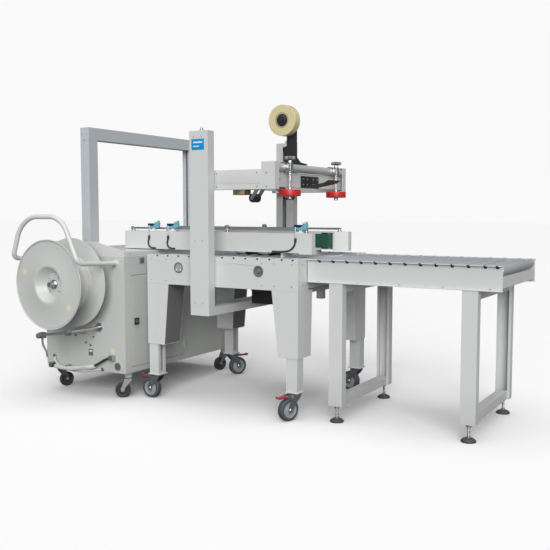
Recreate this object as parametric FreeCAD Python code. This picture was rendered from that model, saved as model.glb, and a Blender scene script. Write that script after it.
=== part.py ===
import FreeCAD, Part
import math
import os

os.makedirs("parts", exist_ok=True)

Vector = FreeCAD.Vector

# Case sealing and strapping line in millimetres, +Z up. The conveyor runs along X: the infeed
# roller table is at +X, the carton sealer in the middle and the arch strapper at -X.
# Shapes are drawn with x = 0 at the sealer's infeed end, y = 0 on its near side panel and
# z = 0 on the floor, then shifted so that the origin is at the base centre of the whole line.
shift_x = 298.0
shift_y = -249.25

sheet = 3.0

# carton sealer bed
bed_length = 851.0
bed_width = 718.0
bed_top = 720.0
panel_height = 142.0
bed_middle = bed_width / 2
roller_radius = 20.0
roller_pitch = 64.0
first_roller_x = -18.0
roller_count = 13
port_radius = 22.5
port_height = 662.0
guide_rod_xs = (-656.0, -203.0)
guide_rod_radius = 12.0
bore_gap = 0.05

# sealer legs
leg_tube = 56.0
leg_tube_bottom = 128.0
cover_bottom = 278.0
cover_depth_top = 135.0
cover_depth_bottom = 123.0

# masts and lead screws
mast_x = (-543.0, -438.0)
mast_y = (-57.0, -8.0)
mast_bottom = 487.0
mast_top = 1300.0
tie_bottom = 447.0
screw_x = -490.0
screw_y = -32.0
screw_radius = 10.0

# lifting head
arm_bottom = 1030.0
arm_top = 1120.0
arm_depth = 40.0
head_front_x = -140.0
cross_tube_radius = 19.0
cross_tube_z = 1130.0
near_press_y = 118.0
far_press_y = 585.0
press_rod_x = -108.0
press_rod_radius = 6.0
press_wheel_radius = 50.0
tape_roll_x = -278.0
tape_roll_z = 1372.0
tape_roll_radius = 75.0
front_arm_pivot = (-330.0, 1065.0)
front_roller_at = (-245.0, 1003.0)
rear_arm_pivot = (-400.0, 1065.0)
rear_roller_at = (-447.0, 998.0)

# side belt units
unit_start = -1125.0
belt_window_end = -78.0
unit_end = -12.0
unit_outer_y = 150.0
unit_inner_y = 226.0
unit_bottom = 740.0
unit_top = 831.0
belt_bottom = 751.0
belt_top = 820.0
belt_outer_radius = 28.0
belt_thickness = 3.0
drum_y = 200.0
drive_drum_x = -1072.0
idler_drum_x = -108.0
sensor_xs = (-943.0, -819.0, -79.0)
sensor_cable_radius = 4.0

# strapping machine
cabinet_x = (-1465.0, -920.0)
cabinet_y = (-90.0, 860.0)
cabinet_bottom = 130.0
cabinet_top = 707.0
bench_height = 735.0
door_y = (-44.0, 376.0)
door_z = (158.0, 617.0)
hinge_axis = (-915.5, 375.0)
hinge_heights = (215.0, 560.0)
arch_x = (-1225.0, -1168.0)
arch_y = (-60.0, 840.0)
arch_leg = 62.0
arch_top = 1352.0
reel_x = -1192.0
reel_z = 579.0
reel_front_y = -325.0
reel_rear_y = -172.0
flange_radius = 218.0
coil_radius = 140.0
spindle_radius = 12.0
hoop_radius = 11.5
hoop_y = -350.0
guide_pivot_x = -1090.0
guide_pivot_z = 352.0

# infeed roller table
table_x = (4.0, 869.0)
table_y = (69.0, 643.0)
table_top = 719.0
table_rail_height = 102.0
table_roller_radius = 20.0
table_roller_pitch = 66.8
table_roller_first = 65.0
table_roller_count = 12
table_last_roller_x = 848.0
table_web_inset = 14.0
table_post_xs = (117.0, 711.0)
post_width = 65.0
post_depth = 40.0
post_bottom = 72.0


def box(x0, x1, y0, y1, z0, z1):
    return Part.makeBox(x1 - x0, y1 - y0, z1 - z0, Vector(x0, y0, z0))


def rod_x(x0, x1, y, z, radius):
    return Part.makeCylinder(radius, x1 - x0, Vector(x0, y, z), Vector(1, 0, 0))


def rod_y(x, y0, y1, z, radius):
    return Part.makeCylinder(radius, y1 - y0, Vector(x, y0, z), Vector(0, 1, 0))


def rod_z(x, y, z0, z1, radius):
    return Part.makeCylinder(radius, z1 - z0, Vector(x, y, z0), Vector(0, 0, 1))


def tube_y(x, y0, y1, z, outer, inner):
    return rod_y(x, y0, y1, z, outer).cut(rod_y(x, y0 - 1, y1 + 1, z, inner))


def tube_z(x, y, z0, z1, outer, inner):
    return rod_z(x, y, z0, z1, outer).cut(rod_z(x, y, z0 - 1, z1 + 1, inner))


def profile_xz(points, y0, y1):
    """Outline in the XZ plane carried from y0 to y1."""
    corners = [Vector(x, y0, z) for x, z in points]
    face = Part.Face(Part.makePolygon(corners + corners[:1]))
    return face.extrude(Vector(0, y1 - y0, 0))


def profile_xy(points, z0, z1):
    """Outline in the XY plane carried from z0 to z1."""
    corners = [Vector(x, y, z0) for x, y in points]
    face = Part.Face(Part.makePolygon(corners + corners[:1]))
    return face.extrude(Vector(0, 0, z1 - z0))


def fuse(shapes):
    joined = shapes[0].multiFuse(shapes[1:]) if len(shapes) > 1 else shapes[0]
    return joined.removeSplitter()


def across(shape):
    """The same shape on the other side of the bed's centre plane."""
    return shape.mirror(Vector(0, bed_middle, 0), Vector(0, 1, 0))


def rect_tube(x0, x1, y0, y1, z0, z1, wall, along):
    """Hollow box section, open at both ends of the named axis."""
    lows = [x0, y0, z0]
    highs = [x1, y1, z1]
    for index, name in enumerate("xyz"):
        grow = 1.0 if name == along else -wall
        lows[index] -= grow
        highs[index] += grow
    inner = box(lows[0], highs[0], lows[1], highs[1], lows[2], highs[2])
    return box(x0, x1, y0, y1, z0, z1).cut(inner)


def rounded_path(points, radii):
    """Straight runs joined by tangent arcs, one radius for each inner point."""
    corners = [Vector(*point) for point in points]
    edges = []
    start = corners[0]
    for index, radius in enumerate(radii, start=1):
        corner = corners[index]
        back = (corners[index - 1] - corner).normalize()
        ahead = (corners[index + 1] - corner).normalize()
        half_turn = (math.pi - back.getAngle(ahead)) / 2
        reach = radius * math.tan(half_turn)
        first = corner + back * reach
        last = corner + ahead * reach
        bisector = (back + ahead).normalize()
        centre = corner + bisector * (radius / math.cos(half_turn))
        middle = centre - bisector * radius
        if (first - start).Length > 1e-6:
            edges.append(Part.LineSegment(start, first).toShape())
        edges.append(Part.Arc(first, middle, last).toShape())
        start = last
    edges.append(Part.LineSegment(start, corners[-1]).toShape())
    return Part.Wire(edges)


def pipe(points, radii, radius):
    """Round bar along straight runs joined by tangent arcs."""
    path = rounded_path(points, radii)
    first = path.Edges[0]
    start = first.valueAt(first.FirstParameter)
    direction = first.tangentAt(first.FirstParameter)
    circle = Part.Wire(Part.Circle(start, direction, radius).toShape())
    solid = path.makePipeShell([circle], True, False)
    return solid


def cord_radii(points):
    """Arc radius at each inner point: 0.45 of the shorter run over the tangent of half the turn."""
    corners = [Vector(*point) for point in points]
    radii = []
    for index in range(1, len(corners) - 1):
        back = corners[index - 1] - corners[index]
        ahead = corners[index + 1] - corners[index]
        half_turn = (math.pi - back.getAngle(ahead)) / 2
        shorter = min(back.Length, ahead.Length)
        radii.append(0.45 * shorter / math.tan(half_turn))
    return radii


def cord(name, points, radius):
    """Cable along a hand-set route; prints its smallest bend and compares its volume."""
    radii = cord_radii(points)
    solid = pipe(points, radii, radius)
    length = rounded_path(points, radii).Length
    expected = math.pi * radius ** 2 * length
    print(name, "length", round(length), "least radius", round(min(radii), 1),
          "volume ratio", round(solid.Volume / expected, 4))
    return solid


def save(name, shapes):
    solids = []
    for shape in shapes:
        solids.extend(shape.Solids)
    whole = solids[0].copy() if len(solids) == 1 else Part.makeCompound(solids)
    whole.translate(Vector(shift_x, shift_y, 0))
    if not whole.isValid():
        print("not valid:", name)
    whole.exportStep("parts/" + name + ".step")
    box_now = whole.BoundBox
    print(name, len(solids), "solids", [round(value, 1) for value in (
        box_now.XMin, box_now.XMax, box_now.YMin, box_now.YMax, box_now.ZMin, box_now.ZMax)])
    extent.add(box_now)


extent = FreeCAD.BoundBox()

roller_xs = [first_roller_x - roller_pitch * step for step in range(roller_count)]
roller_xs[0] = -26.0


# ---------------------------------------------------------------- carton sealer, fixed frame

def side_panel():
    """Folded side panel: web, top flange notched over the rollers, bottom flange."""
    bottom = bed_top - panel_height
    top_flange_depth = 22.0
    bottom_flange_depth = 28.0
    web = box(-bed_length, 0, 0, sheet, bottom, bed_top)
    top = box(-bed_length, 0, 0, top_flange_depth, bed_top - sheet, bed_top)
    foot = box(-bed_length, 0, 0, bottom_flange_depth, bottom, bottom + sheet)
    ends = [box(x, x + sheet, 0, 100, bottom, bed_top) for x in (-bed_length, -sheet)]
    panel = fuse([web, top, foot] + ends)
    notch_half = 8.0
    notch_from = 10.0
    for x in roller_xs:
        notch = box(x - notch_half, x + notch_half, notch_from, top_flange_depth + 1,
                    bed_top - sheet - 1, bed_top + 1)
        panel = panel.cut(notch)
    for x in guide_rod_xs:
        panel = panel.cut(rod_y(x, -1, sheet + 1, port_height, port_radius))
    return panel


def hollow_roller(x, y0, y1, axle_y0, axle_y1, z, radius, axle_radius):
    """Tube roller with pierced end plugs on a through axle."""
    wall = 2.0
    plug = 10.0
    parts = [tube_y(x, y0, y1, z, radius, radius - wall), rod_y(x, axle_y0, axle_y1, z, axle_radius)]
    vent_z = z + (radius + axle_radius) / 2
    for start in (y0, y1 - plug):
        disc = rod_y(x, start, start + plug, z, radius - wall / 2)
        parts.append(disc.cut(rod_y(x, start - 1, start + plug + 1, vent_z, 2.5)))
    return fuse(parts)


def bed_rollers():
    """Bed rollers on fixed axles; those beside the tape head are two short ones."""
    end_y = 24.0
    split_y = 296.0
    head_plate_y = 298.0
    axle_radius = 6.0
    axle_z = bed_top - roller_radius
    head_range = (-590.0, -235.0)
    rollers = []
    for x in roller_xs:
        split = head_range[0] - roller_radius < x < head_range[1] + roller_radius
        if split:
            short = hollow_roller(x, end_y, split_y, sheet, head_plate_y, axle_z,
                                  roller_radius, axle_radius)
            rollers += [short, across(short)]
        else:
            rollers.append(hollow_roller(x, end_y, bed_width - end_y, sheet, bed_width - sheet,
                                         axle_z, roller_radius, axle_radius))
    return rollers


def crossbars():
    """Cross channels between the legs, guide rods with end collars, dark cross plate and stub."""
    bars = []
    for x0 in (-840.0, -46.0):
        outer = box(x0, x0 + 40, sheet, bed_width - sheet, 584, 634)
        inner = box(x0 + sheet, x0 + 40 - sheet, 0, bed_width, 584 + sheet, 640)
        bars.append(outer.cut(inner))
    collar_radius = 20.0
    for x in guide_rod_xs:
        long_rod = rod_y(x, 1.5, bed_width - 1.5, port_height, guide_rod_radius)
        near_collar = rod_y(x, 1.5, 9, port_height, collar_radius)
        far_collar = rod_y(x, bed_width - 9, bed_width - 1.5, port_height, collar_radius)
        bars.append(fuse([long_rod, near_collar, far_collar]))
    plate = box(-104, -50, 140, 578, 556, 572)
    stub = box(-84, -52, 334, 366, 514, 556)
    hangers = [box(-104, -50, y, y + 6, 572, 600) for y in (140, 572)]
    spine = box(-104, -46, 146, 572, 594, 600)
    bars.append(fuse([plate, stub, spine] + hangers))
    return bars


def leg_cover(x_top, x_bottom):
    """Tapered folded cover round a leg, open above and below."""
    bottom = cover_bottom
    top = bed_top - panel_height

    def skin(inset, extra):
        rings = []
        levels = ((bottom, x_bottom, cover_depth_bottom), (top, x_top, cover_depth_top))
        for z, limits, depth in levels:
            shift = -extra if z == bottom else extra
            corners = [Vector(limits[0] + inset, inset, z + shift),
                       Vector(limits[1] - inset, inset, z + shift),
                       Vector(limits[1] - inset, depth - inset, z + shift),
                       Vector(limits[0] + inset, depth - inset, z + shift)]
            rings.append(Part.makePolygon(corners + corners[:1]))
        return Part.makeLoft(rings, True, True)

    return skin(0, 0).cut(skin(sheet, 2))


def leg_covers():
    left = leg_cover((-851, -721), (-851, -748))
    right = leg_cover((-135, 0), (-100, 0))
    return [left, right, across(left), across(right)]


def leg_at(x0, slot_side):
    """Square leg tube with a slot in its inward face and the caster plate welded below."""
    y0 = sheet
    tube = rect_tube(x0, x0 + leg_tube, y0, y0 + leg_tube, leg_tube_bottom,
                     bed_top - panel_height, sheet, "z")
    slot_x = x0 + leg_tube if slot_side > 0 else x0
    slot = box(slot_x - sheet - 1, slot_x + sheet + 1, y0 + 18, y0 + 38, 142, 272)
    tube = tube.cut(slot)
    plate = box(x0 - 7, x0 + leg_tube + 7, y0 - 5, y0 + leg_tube + 7,
                leg_tube_bottom - 5, leg_tube_bottom)
    pin_hole = rod_z(x0 + leg_tube / 2, y0 + leg_tube / 2, 100, 140, big_pin_radius + bore_gap)
    return fuse([tube, plate]).cut(pin_hole)


big_pin_radius = 6.0
left_leg_x = -845.0
right_leg_x = -60.0


def leg_tubes():
    left = leg_at(left_leg_x, 1)
    right = leg_at(right_leg_x, -1)
    return [left, right, across(left), across(right)]


def lower_tape_head():
    """Tape cartridge set into the bed: two plates, spacers, wiping rollers, tape roll."""
    plate_points = [(-590, 575), (-560, 560), (-450, 560), (-430, 535), (-430, 474),
                    (-262, 474), (-235, 510), (-235, 700), (-260, 714), (-590, 714)]
    inner = profile_xz(plate_points, 298, 302)
    pieces = [inner, across(inner)]
    for x, z, radius in ((-560, 600, 8), (-270, 590, 8), (-575, 690, 8), (-250, 680, 8)):
        pieces.append(rod_y(x, 302, 416, z, radius))
    for x in (-320.0, -470.0):
        pieces.append(rod_y(x, 332, 386, 716, 22))
        pieces.append(rod_y(x, 302, 332, 706, 8))
        pieces.append(rod_y(x, 386, 416, 706, 8))
    roll = tube_y(-383, 334, 384, 606, 78, 38)
    core = rod_y(-383, 302, 416, 606, 38)
    pieces += [roll, core]
    return [fuse(pieces)]


def mast():
    """Folded mast with a capped top, a slot for the carriage and a mounting block."""
    shell = box(mast_x[0], mast_x[1], mast_y[0], mast_y[1], mast_bottom, mast_top)
    hollow = box(mast_x[0] + sheet, mast_x[1] - sheet, mast_y[0] + sheet, mast_y[1] - sheet,
                 mast_bottom - 1, mast_top - 5)
    slot = box(-503, -478, mast_y[1] - sheet - 1, mast_y[1] + 1, 760, 1280)
    cap_hole = rod_z(screw_x, screw_y, mast_top - 10, mast_top + 10, screw_radius + bore_gap)
    block = box(mast_x[0] + 10, mast_x[1] - 10, mast_y[1], 0, 590, 700)
    return fuse([shell.cut(hollow).cut(slot), block]).cut(cap_hole)


def masts():
    near = mast()
    return [near, across(near)]


def mast_tie_beam():
    """Closed beam under the bed that joins the masts and holds the chain between the screws."""
    y0 = mast_y[0]
    y1 = bed_width - mast_y[0]
    outer = box(mast_x[0], mast_x[1], y0, y1, tie_bottom, mast_bottom)
    inner = box(mast_x[0] + sheet, mast_x[1] - sheet, y0 + sheet, y1 - sheet,
                tie_bottom + sheet, mast_bottom - sheet)
    beam = outer.cut(inner)
    for y in (screw_y, bed_width - screw_y):
        beam = beam.cut(rod_z(screw_x, y, mast_bottom - 5, mast_bottom + 5, screw_radius + 1))
    return [beam]


def lead_screw(y):
    """Lead screw with its chain sprocket below and the crank end standing out of the mast."""
    pieces = [rod_z(screw_x, y, 454, mast_top + 6, screw_radius),
              rod_z(screw_x, y, 462, 470, 19),
              rod_z(screw_x, y, mast_top + 6, mast_top + 16, 6)]
    return [fuse(pieces)]


# ---------------------------------------------------------------- lifting head

def head_side_arm():
    """Folded side arm: web, flanges, raised end wall and the nut carriage in the mast."""
    rear_x = -541.0
    end_x = head_front_x + 22
    raised_x = -188.0
    raised_top = 1153.0
    pieces = [box(rear_x, end_x, 0, sheet, arm_bottom, arm_top),
              box(raised_x, end_x, 0, sheet, arm_bottom, raised_top),
              box(rear_x, raised_x, 0, arm_depth, arm_top - sheet, arm_top),
              box(raised_x, end_x, 0, arm_depth, raised_top - sheet, raised_top),
              box(raised_x, raised_x + sheet, 0, arm_depth, arm_top - sheet, raised_top),
              box(rear_x, end_x, 0, arm_depth, arm_bottom, arm_bottom + sheet),
              box(rear_x, rear_x + sheet, 0, arm_depth, arm_bottom, arm_top),
              box(end_x - sheet, end_x, 0, arm_depth, arm_bottom, raised_top)]
    neck = box(-501, -480, -15, 0, 1040, 1110)
    nut = box(-525, -460, -50, -15, 1040, 1110)
    screw_bore = rod_z(screw_x, screw_y, 1000, 1200, screw_radius + bore_gap)
    return fuse(pieces + [neck, nut]).cut(screw_bore)


def head_frame():
    """Side arms joined by the front and rear cross channels and two rails for the tape head."""
    near = head_side_arm()
    channels = []
    flange = 28.0
    y0 = arm_depth
    y1 = bed_width - arm_depth
    for x_face, turn in ((head_front_x, -1), (-538.0, 1)):
        x_web = sorted((x_face, x_face + turn * sheet))
        x_lip = sorted((x_face, x_face + turn * flange))
        channels += [box(x_web[0], x_web[1], sheet, bed_width - sheet, 1042, 1110),
                     box(x_lip[0], x_lip[1], y0, y1, 1110 - sheet, 1110),
                     box(x_lip[0], x_lip[1], y0, y1, 1042, 1042 + sheet)]
    rails = [box(-535, head_front_x - sheet, y, y + 8, 1078, 1104) for y in (312, 398)]
    return [fuse([near, across(near)] + channels + rails)]


def head_cross_tube():
    return [tube_y(head_front_x, sheet, bed_width - sheet, cross_tube_z,
                   cross_tube_radius, cross_tube_radius - 3)]


def tape_head_plates():
    """Tape head body: side plates, mounting plate, guide ski, tan pad and tape roll bracket."""
    side_points = [(-528, 1046), (-500, 1050), (-168, 1050), (-168, 1100), (-528, 1100)]
    near_side = profile_xz(side_points, 320, 324)
    far_side = profile_xz(side_points, 394, 398)
    mount_plate = box(head_front_x, head_front_x + 6, 275, 446, 1043, 1098)
    ski_points = [(-134, 1043), (-134, 1047), (-30, 1066), (-4, 1078), (-2, 1074), (-28, 1062)]
    ski = profile_xz(ski_points, 300, 418)
    spacers = [rod_y(x, 324, 394, 1090, 6) for x in (-500, -460, -200)]
    pad = box(-562, -492, 330, 388, 1014, 1040)
    pad_post = box(-509.5, -497, 324, 394, 1040, 1060)
    bracket_points = [(-282, 1060), (-226, 1060), (-226, 1146), (-170, 1146), (-170, 1160),
                      (-205, 1170), (-226, 1196), (-226, 1392), (-238, 1400), (-270, 1400),
                      (-282, 1392), (-282, 1252), (-299, 1246), (-299, 1180), (-282, 1172)]
    bracket = profile_xz(bracket_points, 389, 394)
    axle = rod_y(tape_roll_x, 322, 389, tape_roll_z, 8)
    axle_seat = rod_y(tape_roll_x, 386, 389, tape_roll_z, 16)
    pivots = [rod_y(x, 324, 394, z, 6) for x, z in (front_arm_pivot, rear_arm_pivot)]
    body = fuse([near_side, far_side, bracket, axle, axle_seat, pad_post, pad] + spacers + pivots)
    front_link = box(-168, head_front_x - sheet, 320, 398, 1056, 1070)
    return [fuse([body, front_link]), fuse([mount_plate, ski])]


def roller_arm(pivot, roller, roller_radius_now):
    """Two arm plates on a sleeve, with a rubber roller between their free ends."""
    dx = roller[0] - pivot[0]
    dz = roller[1] - pivot[1]
    length = math.hypot(dx, dz)
    nx = -dz / length * 9
    nz = dx / length * 9
    outline = [(pivot[0] + nx, pivot[1] + nz), (pivot[0] - nx, pivot[1] - nz),
               (roller[0] - nx, roller[1] - nz), (roller[0] + nx, roller[1] + nz)]
    plates = [profile_xz(outline, 327, 331), profile_xz(outline, 383, 387)]
    ends = [rod_y(x, y, y + 4, z, 9) for x, z in (pivot, roller) for y in (327, 383)]
    sleeve = rod_y(pivot[0], 327, 387, pivot[1], 11)
    barrel = rod_y(roller[0], 332, 382, roller[1], roller_radius_now)
    axle = rod_y(roller[0], 327, 387, roller[1], 5)
    arm = fuse(plates + ends + [sleeve, barrel, axle])
    return arm.cut(rod_y(pivot[0], 320, 400, pivot[1], 6 + bore_gap))


def tape_roll():
    """Tape on its core and hub, free to turn on the bracket's axle."""
    tape = tube_y(tape_roll_x, 334, 384, tape_roll_z, tape_roll_radius, 30)
    hub = rod_y(tape_roll_x, 330, 385, tape_roll_z, 30)
    return [fuse([tape, hub]).cut(rod_y(tape_roll_x, 300, 400, tape_roll_z, 8 + bore_gap))]


def press_clamp(y):
    """Clamp on the cross tube, upright rod with a wheel nut below and a hand knob above."""
    block = box(-164, -98, y - 16, y + 16, 1113, 1154)
    tube_bore = rod_y(head_front_x, y - 20, y + 20, cross_tube_z, cross_tube_radius + bore_gap)
    stem = rod_z(press_rod_x, y, 989, 1166, press_rod_radius)
    collar = rod_z(press_rod_x, y, 1030.3, 1038, 10)
    nut = rod_z(press_rod_x, y, 986, 999.7, 10)
    knob_points = []
    lobes = 6
    for step in range(lobes * 2):
        angle = math.pi * step / lobes
        reach = 29.0 if step % 2 == 0 else 20.0
        knob_points.append((press_rod_x + reach * math.cos(angle), y + reach * math.sin(angle)))
    knob = profile_xy(knob_points, 1164, 1180)
    return [fuse([block.cut(tube_bore), stem, collar, nut, knob])]


def press_wheel(y):
    wheel = rod_z(press_rod_x, y, 1000, 1030, press_wheel_radius)
    wheel = wheel.makeFillet(5, [edge for edge in wheel.Edges if edge.Curve.TypeId ==
                                 "Part::GeomCircle"])
    return [wheel.cut(rod_z(press_rod_x, y, 990, 1040, press_rod_radius + bore_gap))]


# ---------------------------------------------------------------- side belts

def race_track(x0, x1, y, radius, z0, z1):
    """Upright slab with round ends: the outline of a belt over two drums."""
    return fuse([box(x0, x1, y - radius, y + radius, z0, z1),
                 rod_z(x0, y, z0, z1, radius), rod_z(x1, y, z0, z1, radius)])


def belt_housing():
    """Folded channel round the belt with a nose cover, guide rods, carriers and drive motor."""
    wall = [box(unit_start, unit_end, unit_outer_y, unit_outer_y + sheet, unit_bottom, unit_top),
            box(unit_start, belt_window_end, unit_outer_y, unit_inner_y, unit_top - 5, unit_top),
            box(unit_start, belt_window_end, unit_outer_y, unit_inner_y,
                unit_bottom, unit_bottom + 5),
            box(unit_start, unit_start + sheet, unit_outer_y, unit_inner_y,
                unit_bottom, unit_top)]
    nose_y = unit_inner_y - 42
    nose_plan = [(belt_window_end, unit_outer_y), (unit_end, unit_outer_y), (unit_end, nose_y),
                 (belt_window_end + 12, unit_inner_y), (belt_window_end, unit_inner_y)]
    nose = profile_xy(nose_plan, unit_bottom - 5, unit_top)
    hollow_plan = [(belt_window_end - 1, unit_outer_y + 3), (unit_end - 3, unit_outer_y + 3),
                   (unit_end - 3, nose_y - 2), (belt_window_end + 11, unit_inner_y - 3),
                   (belt_window_end - 1, unit_inner_y - 3)]
    nose = nose.cut(profile_xy(hollow_plan, unit_bottom - 2, unit_top - 5))
    # slide bar behind the working run of the belt, and the idler drum it runs round
    slide_bar = box(-1035, -145, 206, 224.7, unit_bottom + 5, unit_top - 5)
    slide_bar = slide_bar.cut(box(-1036, -144, 200, 212, 752, 819))
    idler = rod_z(idler_drum_x, drum_y, unit_bottom + 5, unit_top - 5, 10)
    idler_drum = rod_z(idler_drum_x, drum_y, belt_bottom, belt_top, 24.7)
    drive_pin = rod_z(drive_drum_x, drum_y, unit_bottom + 5, unit_top - 5, 8)
    pieces = wall + [nose, slide_bar, idler, idler_drum, drive_pin]
    # rod along the top on three short posts, with an end knob and a middle handle
    rail_y = 186.0
    rail_z = 845.0
    for x in (-1095.0, -500.0, -60.0):
        pieces.append(rod_z(x, rail_y, unit_top - 2, rail_z, 5))
    pieces.append(rod_x(-1100, -52, rail_y, rail_z, 5))
    pieces.append(Part.makeSphere(9, Vector(-1104, rail_y, rail_z)))
    pieces.append(rod_z(-500, rail_y, rail_z, 862, 11))
    # carriers that ride on the guide rods between two bed rollers
    for x0, x1, block in ((-696, -684, (-700, -636)), (-184, -172, (-222, -168))):
        rod_at = guide_rod_xs[0] if x0 < -400 else guide_rod_xs[1]
        pieces.append(box(block[0], block[1], 165, 225, 644, 678.5))
        pieces.append(box(x0, x1, 165, 225, 644, unit_bottom + 3))
        bore = rod_y(rod_at, 150, 240, port_height, guide_rod_radius + bore_gap)
        pieces = [fuse(pieces).cut(bore)]
    # gear motor hung below the bed with its shaft rising between two rollers
    motor_x = -626.0
    pieces += [box(-690, -598, 172, 228, 638, 648),
               rod_z(motor_x, drum_y, 540, 640, 30),
               rod_z(motor_x, drum_y, 640, unit_bottom + 3, 6)]
    return fuse(pieces)


def side_belt():
    inner_radius = belt_outer_radius - belt_thickness
    outer = race_track(drive_drum_x, idler_drum_x, drum_y, belt_outer_radius,
                       belt_bottom, belt_top)
    inner = race_track(drive_drum_x, idler_drum_x, drum_y, inner_radius,
                       belt_bottom - 1, belt_top + 1)
    return outer.cut(inner)


def drive_drum():
    drum = rod_z(drive_drum_x, drum_y, belt_bottom, belt_top, 24.7)
    return drum.cut(rod_z(drive_drum_x, drum_y, 700, 900, 8 + bore_gap))


def sensors():
    """Three sensors on feet along the near belt unit, each with a cap, a hood and a stay rod."""
    pieces = []
    for x in sensor_xs:
        foot = box(x - 26, x + 18, 154, 172, unit_top, 836)
        post = box(x - 4, x + 10, 157, 169, 836, 846)
        body = profile_xz([(x - 32, 846), (x + 34, 846), (x + 38, 872), (x + 30, 886),
                           (x + 12, 880), (x + 8, 862), (x - 32, 860)], 153, 173)
        cap = box(x - 30, x + 8, 151, 175, 856, 870)
        stay = rod_z(x - 16, 146.5, 800, 860, 2.5)
        tie = box(x - 19, x - 13, 146.5, 154, 850, 856)
        sensor = fuse([foot, post, body, cap, stay, tie])
        pieces.append(sensor)
    return pieces


def sensor_cables():
    """Cables from the stay rods down the unit's outer wall to its foot."""
    cables = []
    y = 145.6
    for x, side in ((sensor_xs[0], 1), (sensor_xs[1], 1), (sensor_xs[2], -1)):
        top = x - 16
        points = [(top, y, 800), (top - 4, y, 784), (top - 7, y, 766), (top + 3 * side, y, 750),
                  (top + 20 * side, y, 745), (top + 42 * side, y, 744.4)]
        if side < 0:
            points = [(top, y, 800), (top - 2, y, 782), (top - 12, y, 764), (top - 30, y, 751),
                      (top - 54, y, 746), (top - 84, y, 744.5), (top - 124, y, 745.5)]
        cables.append(cord("sensor cable", points, sensor_cable_radius))
    return cables


# ---------------------------------------------------------------- strapping machine

def hinge_halves():
    """Fixed knuckles, hinge plates and pins beside the door opening."""
    x, y = hinge_axis
    parts = []
    for z in hinge_heights:
        for low, high in ((z - 24, z - 8.4), (z + 8.4, z + 24)):
            parts.append(rod_z(x, y, low, high, 4))
            parts.append(box(cabinet_x[1], x, y + 1, y + 12, low, high))
        parts.append(rod_z(x, y, z - 24, z + 24, 1.6))
    return [fuse(parts[k:k + 5]) for k in range(0, len(parts), 5)]


def cabinet_shell():
    """Sheet cabinet with a door opening in its sealer-side wall and four caster stem tubes."""
    outer = box(cabinet_x[0], cabinet_x[1], cabinet_y[0], cabinet_y[1],
                cabinet_bottom, cabinet_top)
    inner = box(cabinet_x[0] + sheet, cabinet_x[1] - sheet, cabinet_y[0] + sheet,
                cabinet_y[1] - sheet, cabinet_bottom + sheet, cabinet_top + 1)
    opening = box(cabinet_x[1] - 10, cabinet_x[1] + 1, door_y[0], door_y[1],
                  door_z[0], door_z[1])
    pieces = [outer.cut(inner).cut(opening)]
    stems = []
    for x, y in cabinet_caster_stems:
        stems.append(rod_z(x, y, small_caster_top, cabinet_bottom, 20))
    shell = fuse(pieces + stems + hinge_halves())
    for x, y in cabinet_caster_stems:
        shell = shell.cut(rod_z(x, y, 90, 124, 5 + bore_gap))
        shell = shell.cut(rod_z(x, y, 119, 126, 9.5))
    return [shell]


def bench_top():
    """Bench plate with folded edges, two side cheeks and the strap slot under the arch."""
    plate = box(cabinet_x[0], cabinet_x[1], cabinet_y[0], cabinet_y[1],
                cabinet_top, bench_height)
    under = box(cabinet_x[0] + sheet, cabinet_x[1] - sheet, cabinet_y[0] + sheet,
                cabinet_y[1] - sheet, cabinet_top - 1, bench_height - sheet)
    strap_slot = box(-1203, -1189, 20, 760, bench_height - 10, bench_height + 1)
    x0 = cabinet_x[0] + 20
    cheek_top = bench_height + 44
    side_points = [(x0, bench_height), (cabinet_x[1] - 6, bench_height),
                   (cabinet_x[1] - 6, bench_height + 2), (-1096, cheek_top), (x0, cheek_top)]
    cheeks = []
    for outer_y, turn in ((cabinet_y[0], 1), (cabinet_y[1], -1)):
        side = sorted((outer_y, outer_y + turn * 3))
        lip = sorted((outer_y, outer_y + turn * 17))
        cheeks.append(profile_xz(side_points, side[0], side[1]))
        cheeks.append(box(x0, -1096, lip[0], lip[1], cheek_top - 3, cheek_top))
    return [fuse([plate.cut(under).cut(strap_slot)] + cheeks)]


def cabinet_door():
    """Door leaf with a folded rim, square lock and the moving knuckles of its two hinges."""
    gap = 2.0
    x1 = cabinet_x[1]
    y0 = door_y[0] + gap
    y1 = door_y[1] - gap
    z0 = door_z[0] + gap
    z1 = door_z[1] - gap
    leaf = box(x1 - 12, x1 + 0.6, y0, y1, z0, z1)
    leaf = leaf.cut(box(x1 - 13, x1 - 1.6, y0 + 2, y1 - 2, z0 + 2, z1 - 2))
    lock = box(x1 + 0.6, x1 + 5, -25, 1, 373, 399)
    cam = box(x1 - 14, x1 - 1.6, -20, -4, 378, 394)
    hinge_x, hinge_y = hinge_axis
    knuckles = []
    for z in hinge_heights:
        knuckles.append(rod_z(hinge_x, hinge_y, z - 8, z + 8, 4))
        knuckles.append(box(x1 + 0.6, hinge_x, hinge_y - 12, hinge_y - 1, z - 8, z + 8))
    door = fuse([leaf, lock, cam] + knuckles)
    for z in hinge_heights:
        door = door.cut(rod_z(hinge_x, hinge_y, z - 9, z + 9, 1.6 + bore_gap))
    return [door]


def arch_uprights():
    """Arch legs: closed profiles with an outer groove and a strap slot to the inside."""
    legs = []
    x0, x1 = arch_x
    beam_bottom = arch_top - arch_leg
    for y0, outside in ((arch_y[0], -1), (arch_y[1] - arch_leg, 1)):
        y1 = y0 + arch_leg
        leg = rect_tube(x0, x1, y0, y1, bench_height, beam_bottom, 9, "z")
        groove_y = y0 if outside < 0 else y1
        leg = leg.cut(box(x0 + 18, x0 + 31, groove_y - 6, groove_y + 6,
                          bench_height + 30, beam_bottom + 1))
        slot_y = y1 if outside < 0 else y0
        leg = leg.cut(box(-1203, -1189, slot_y - 10, slot_y + 10,
                          bench_height + 1, beam_bottom + 1))
        legs.append(leg)
    return legs


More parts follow.
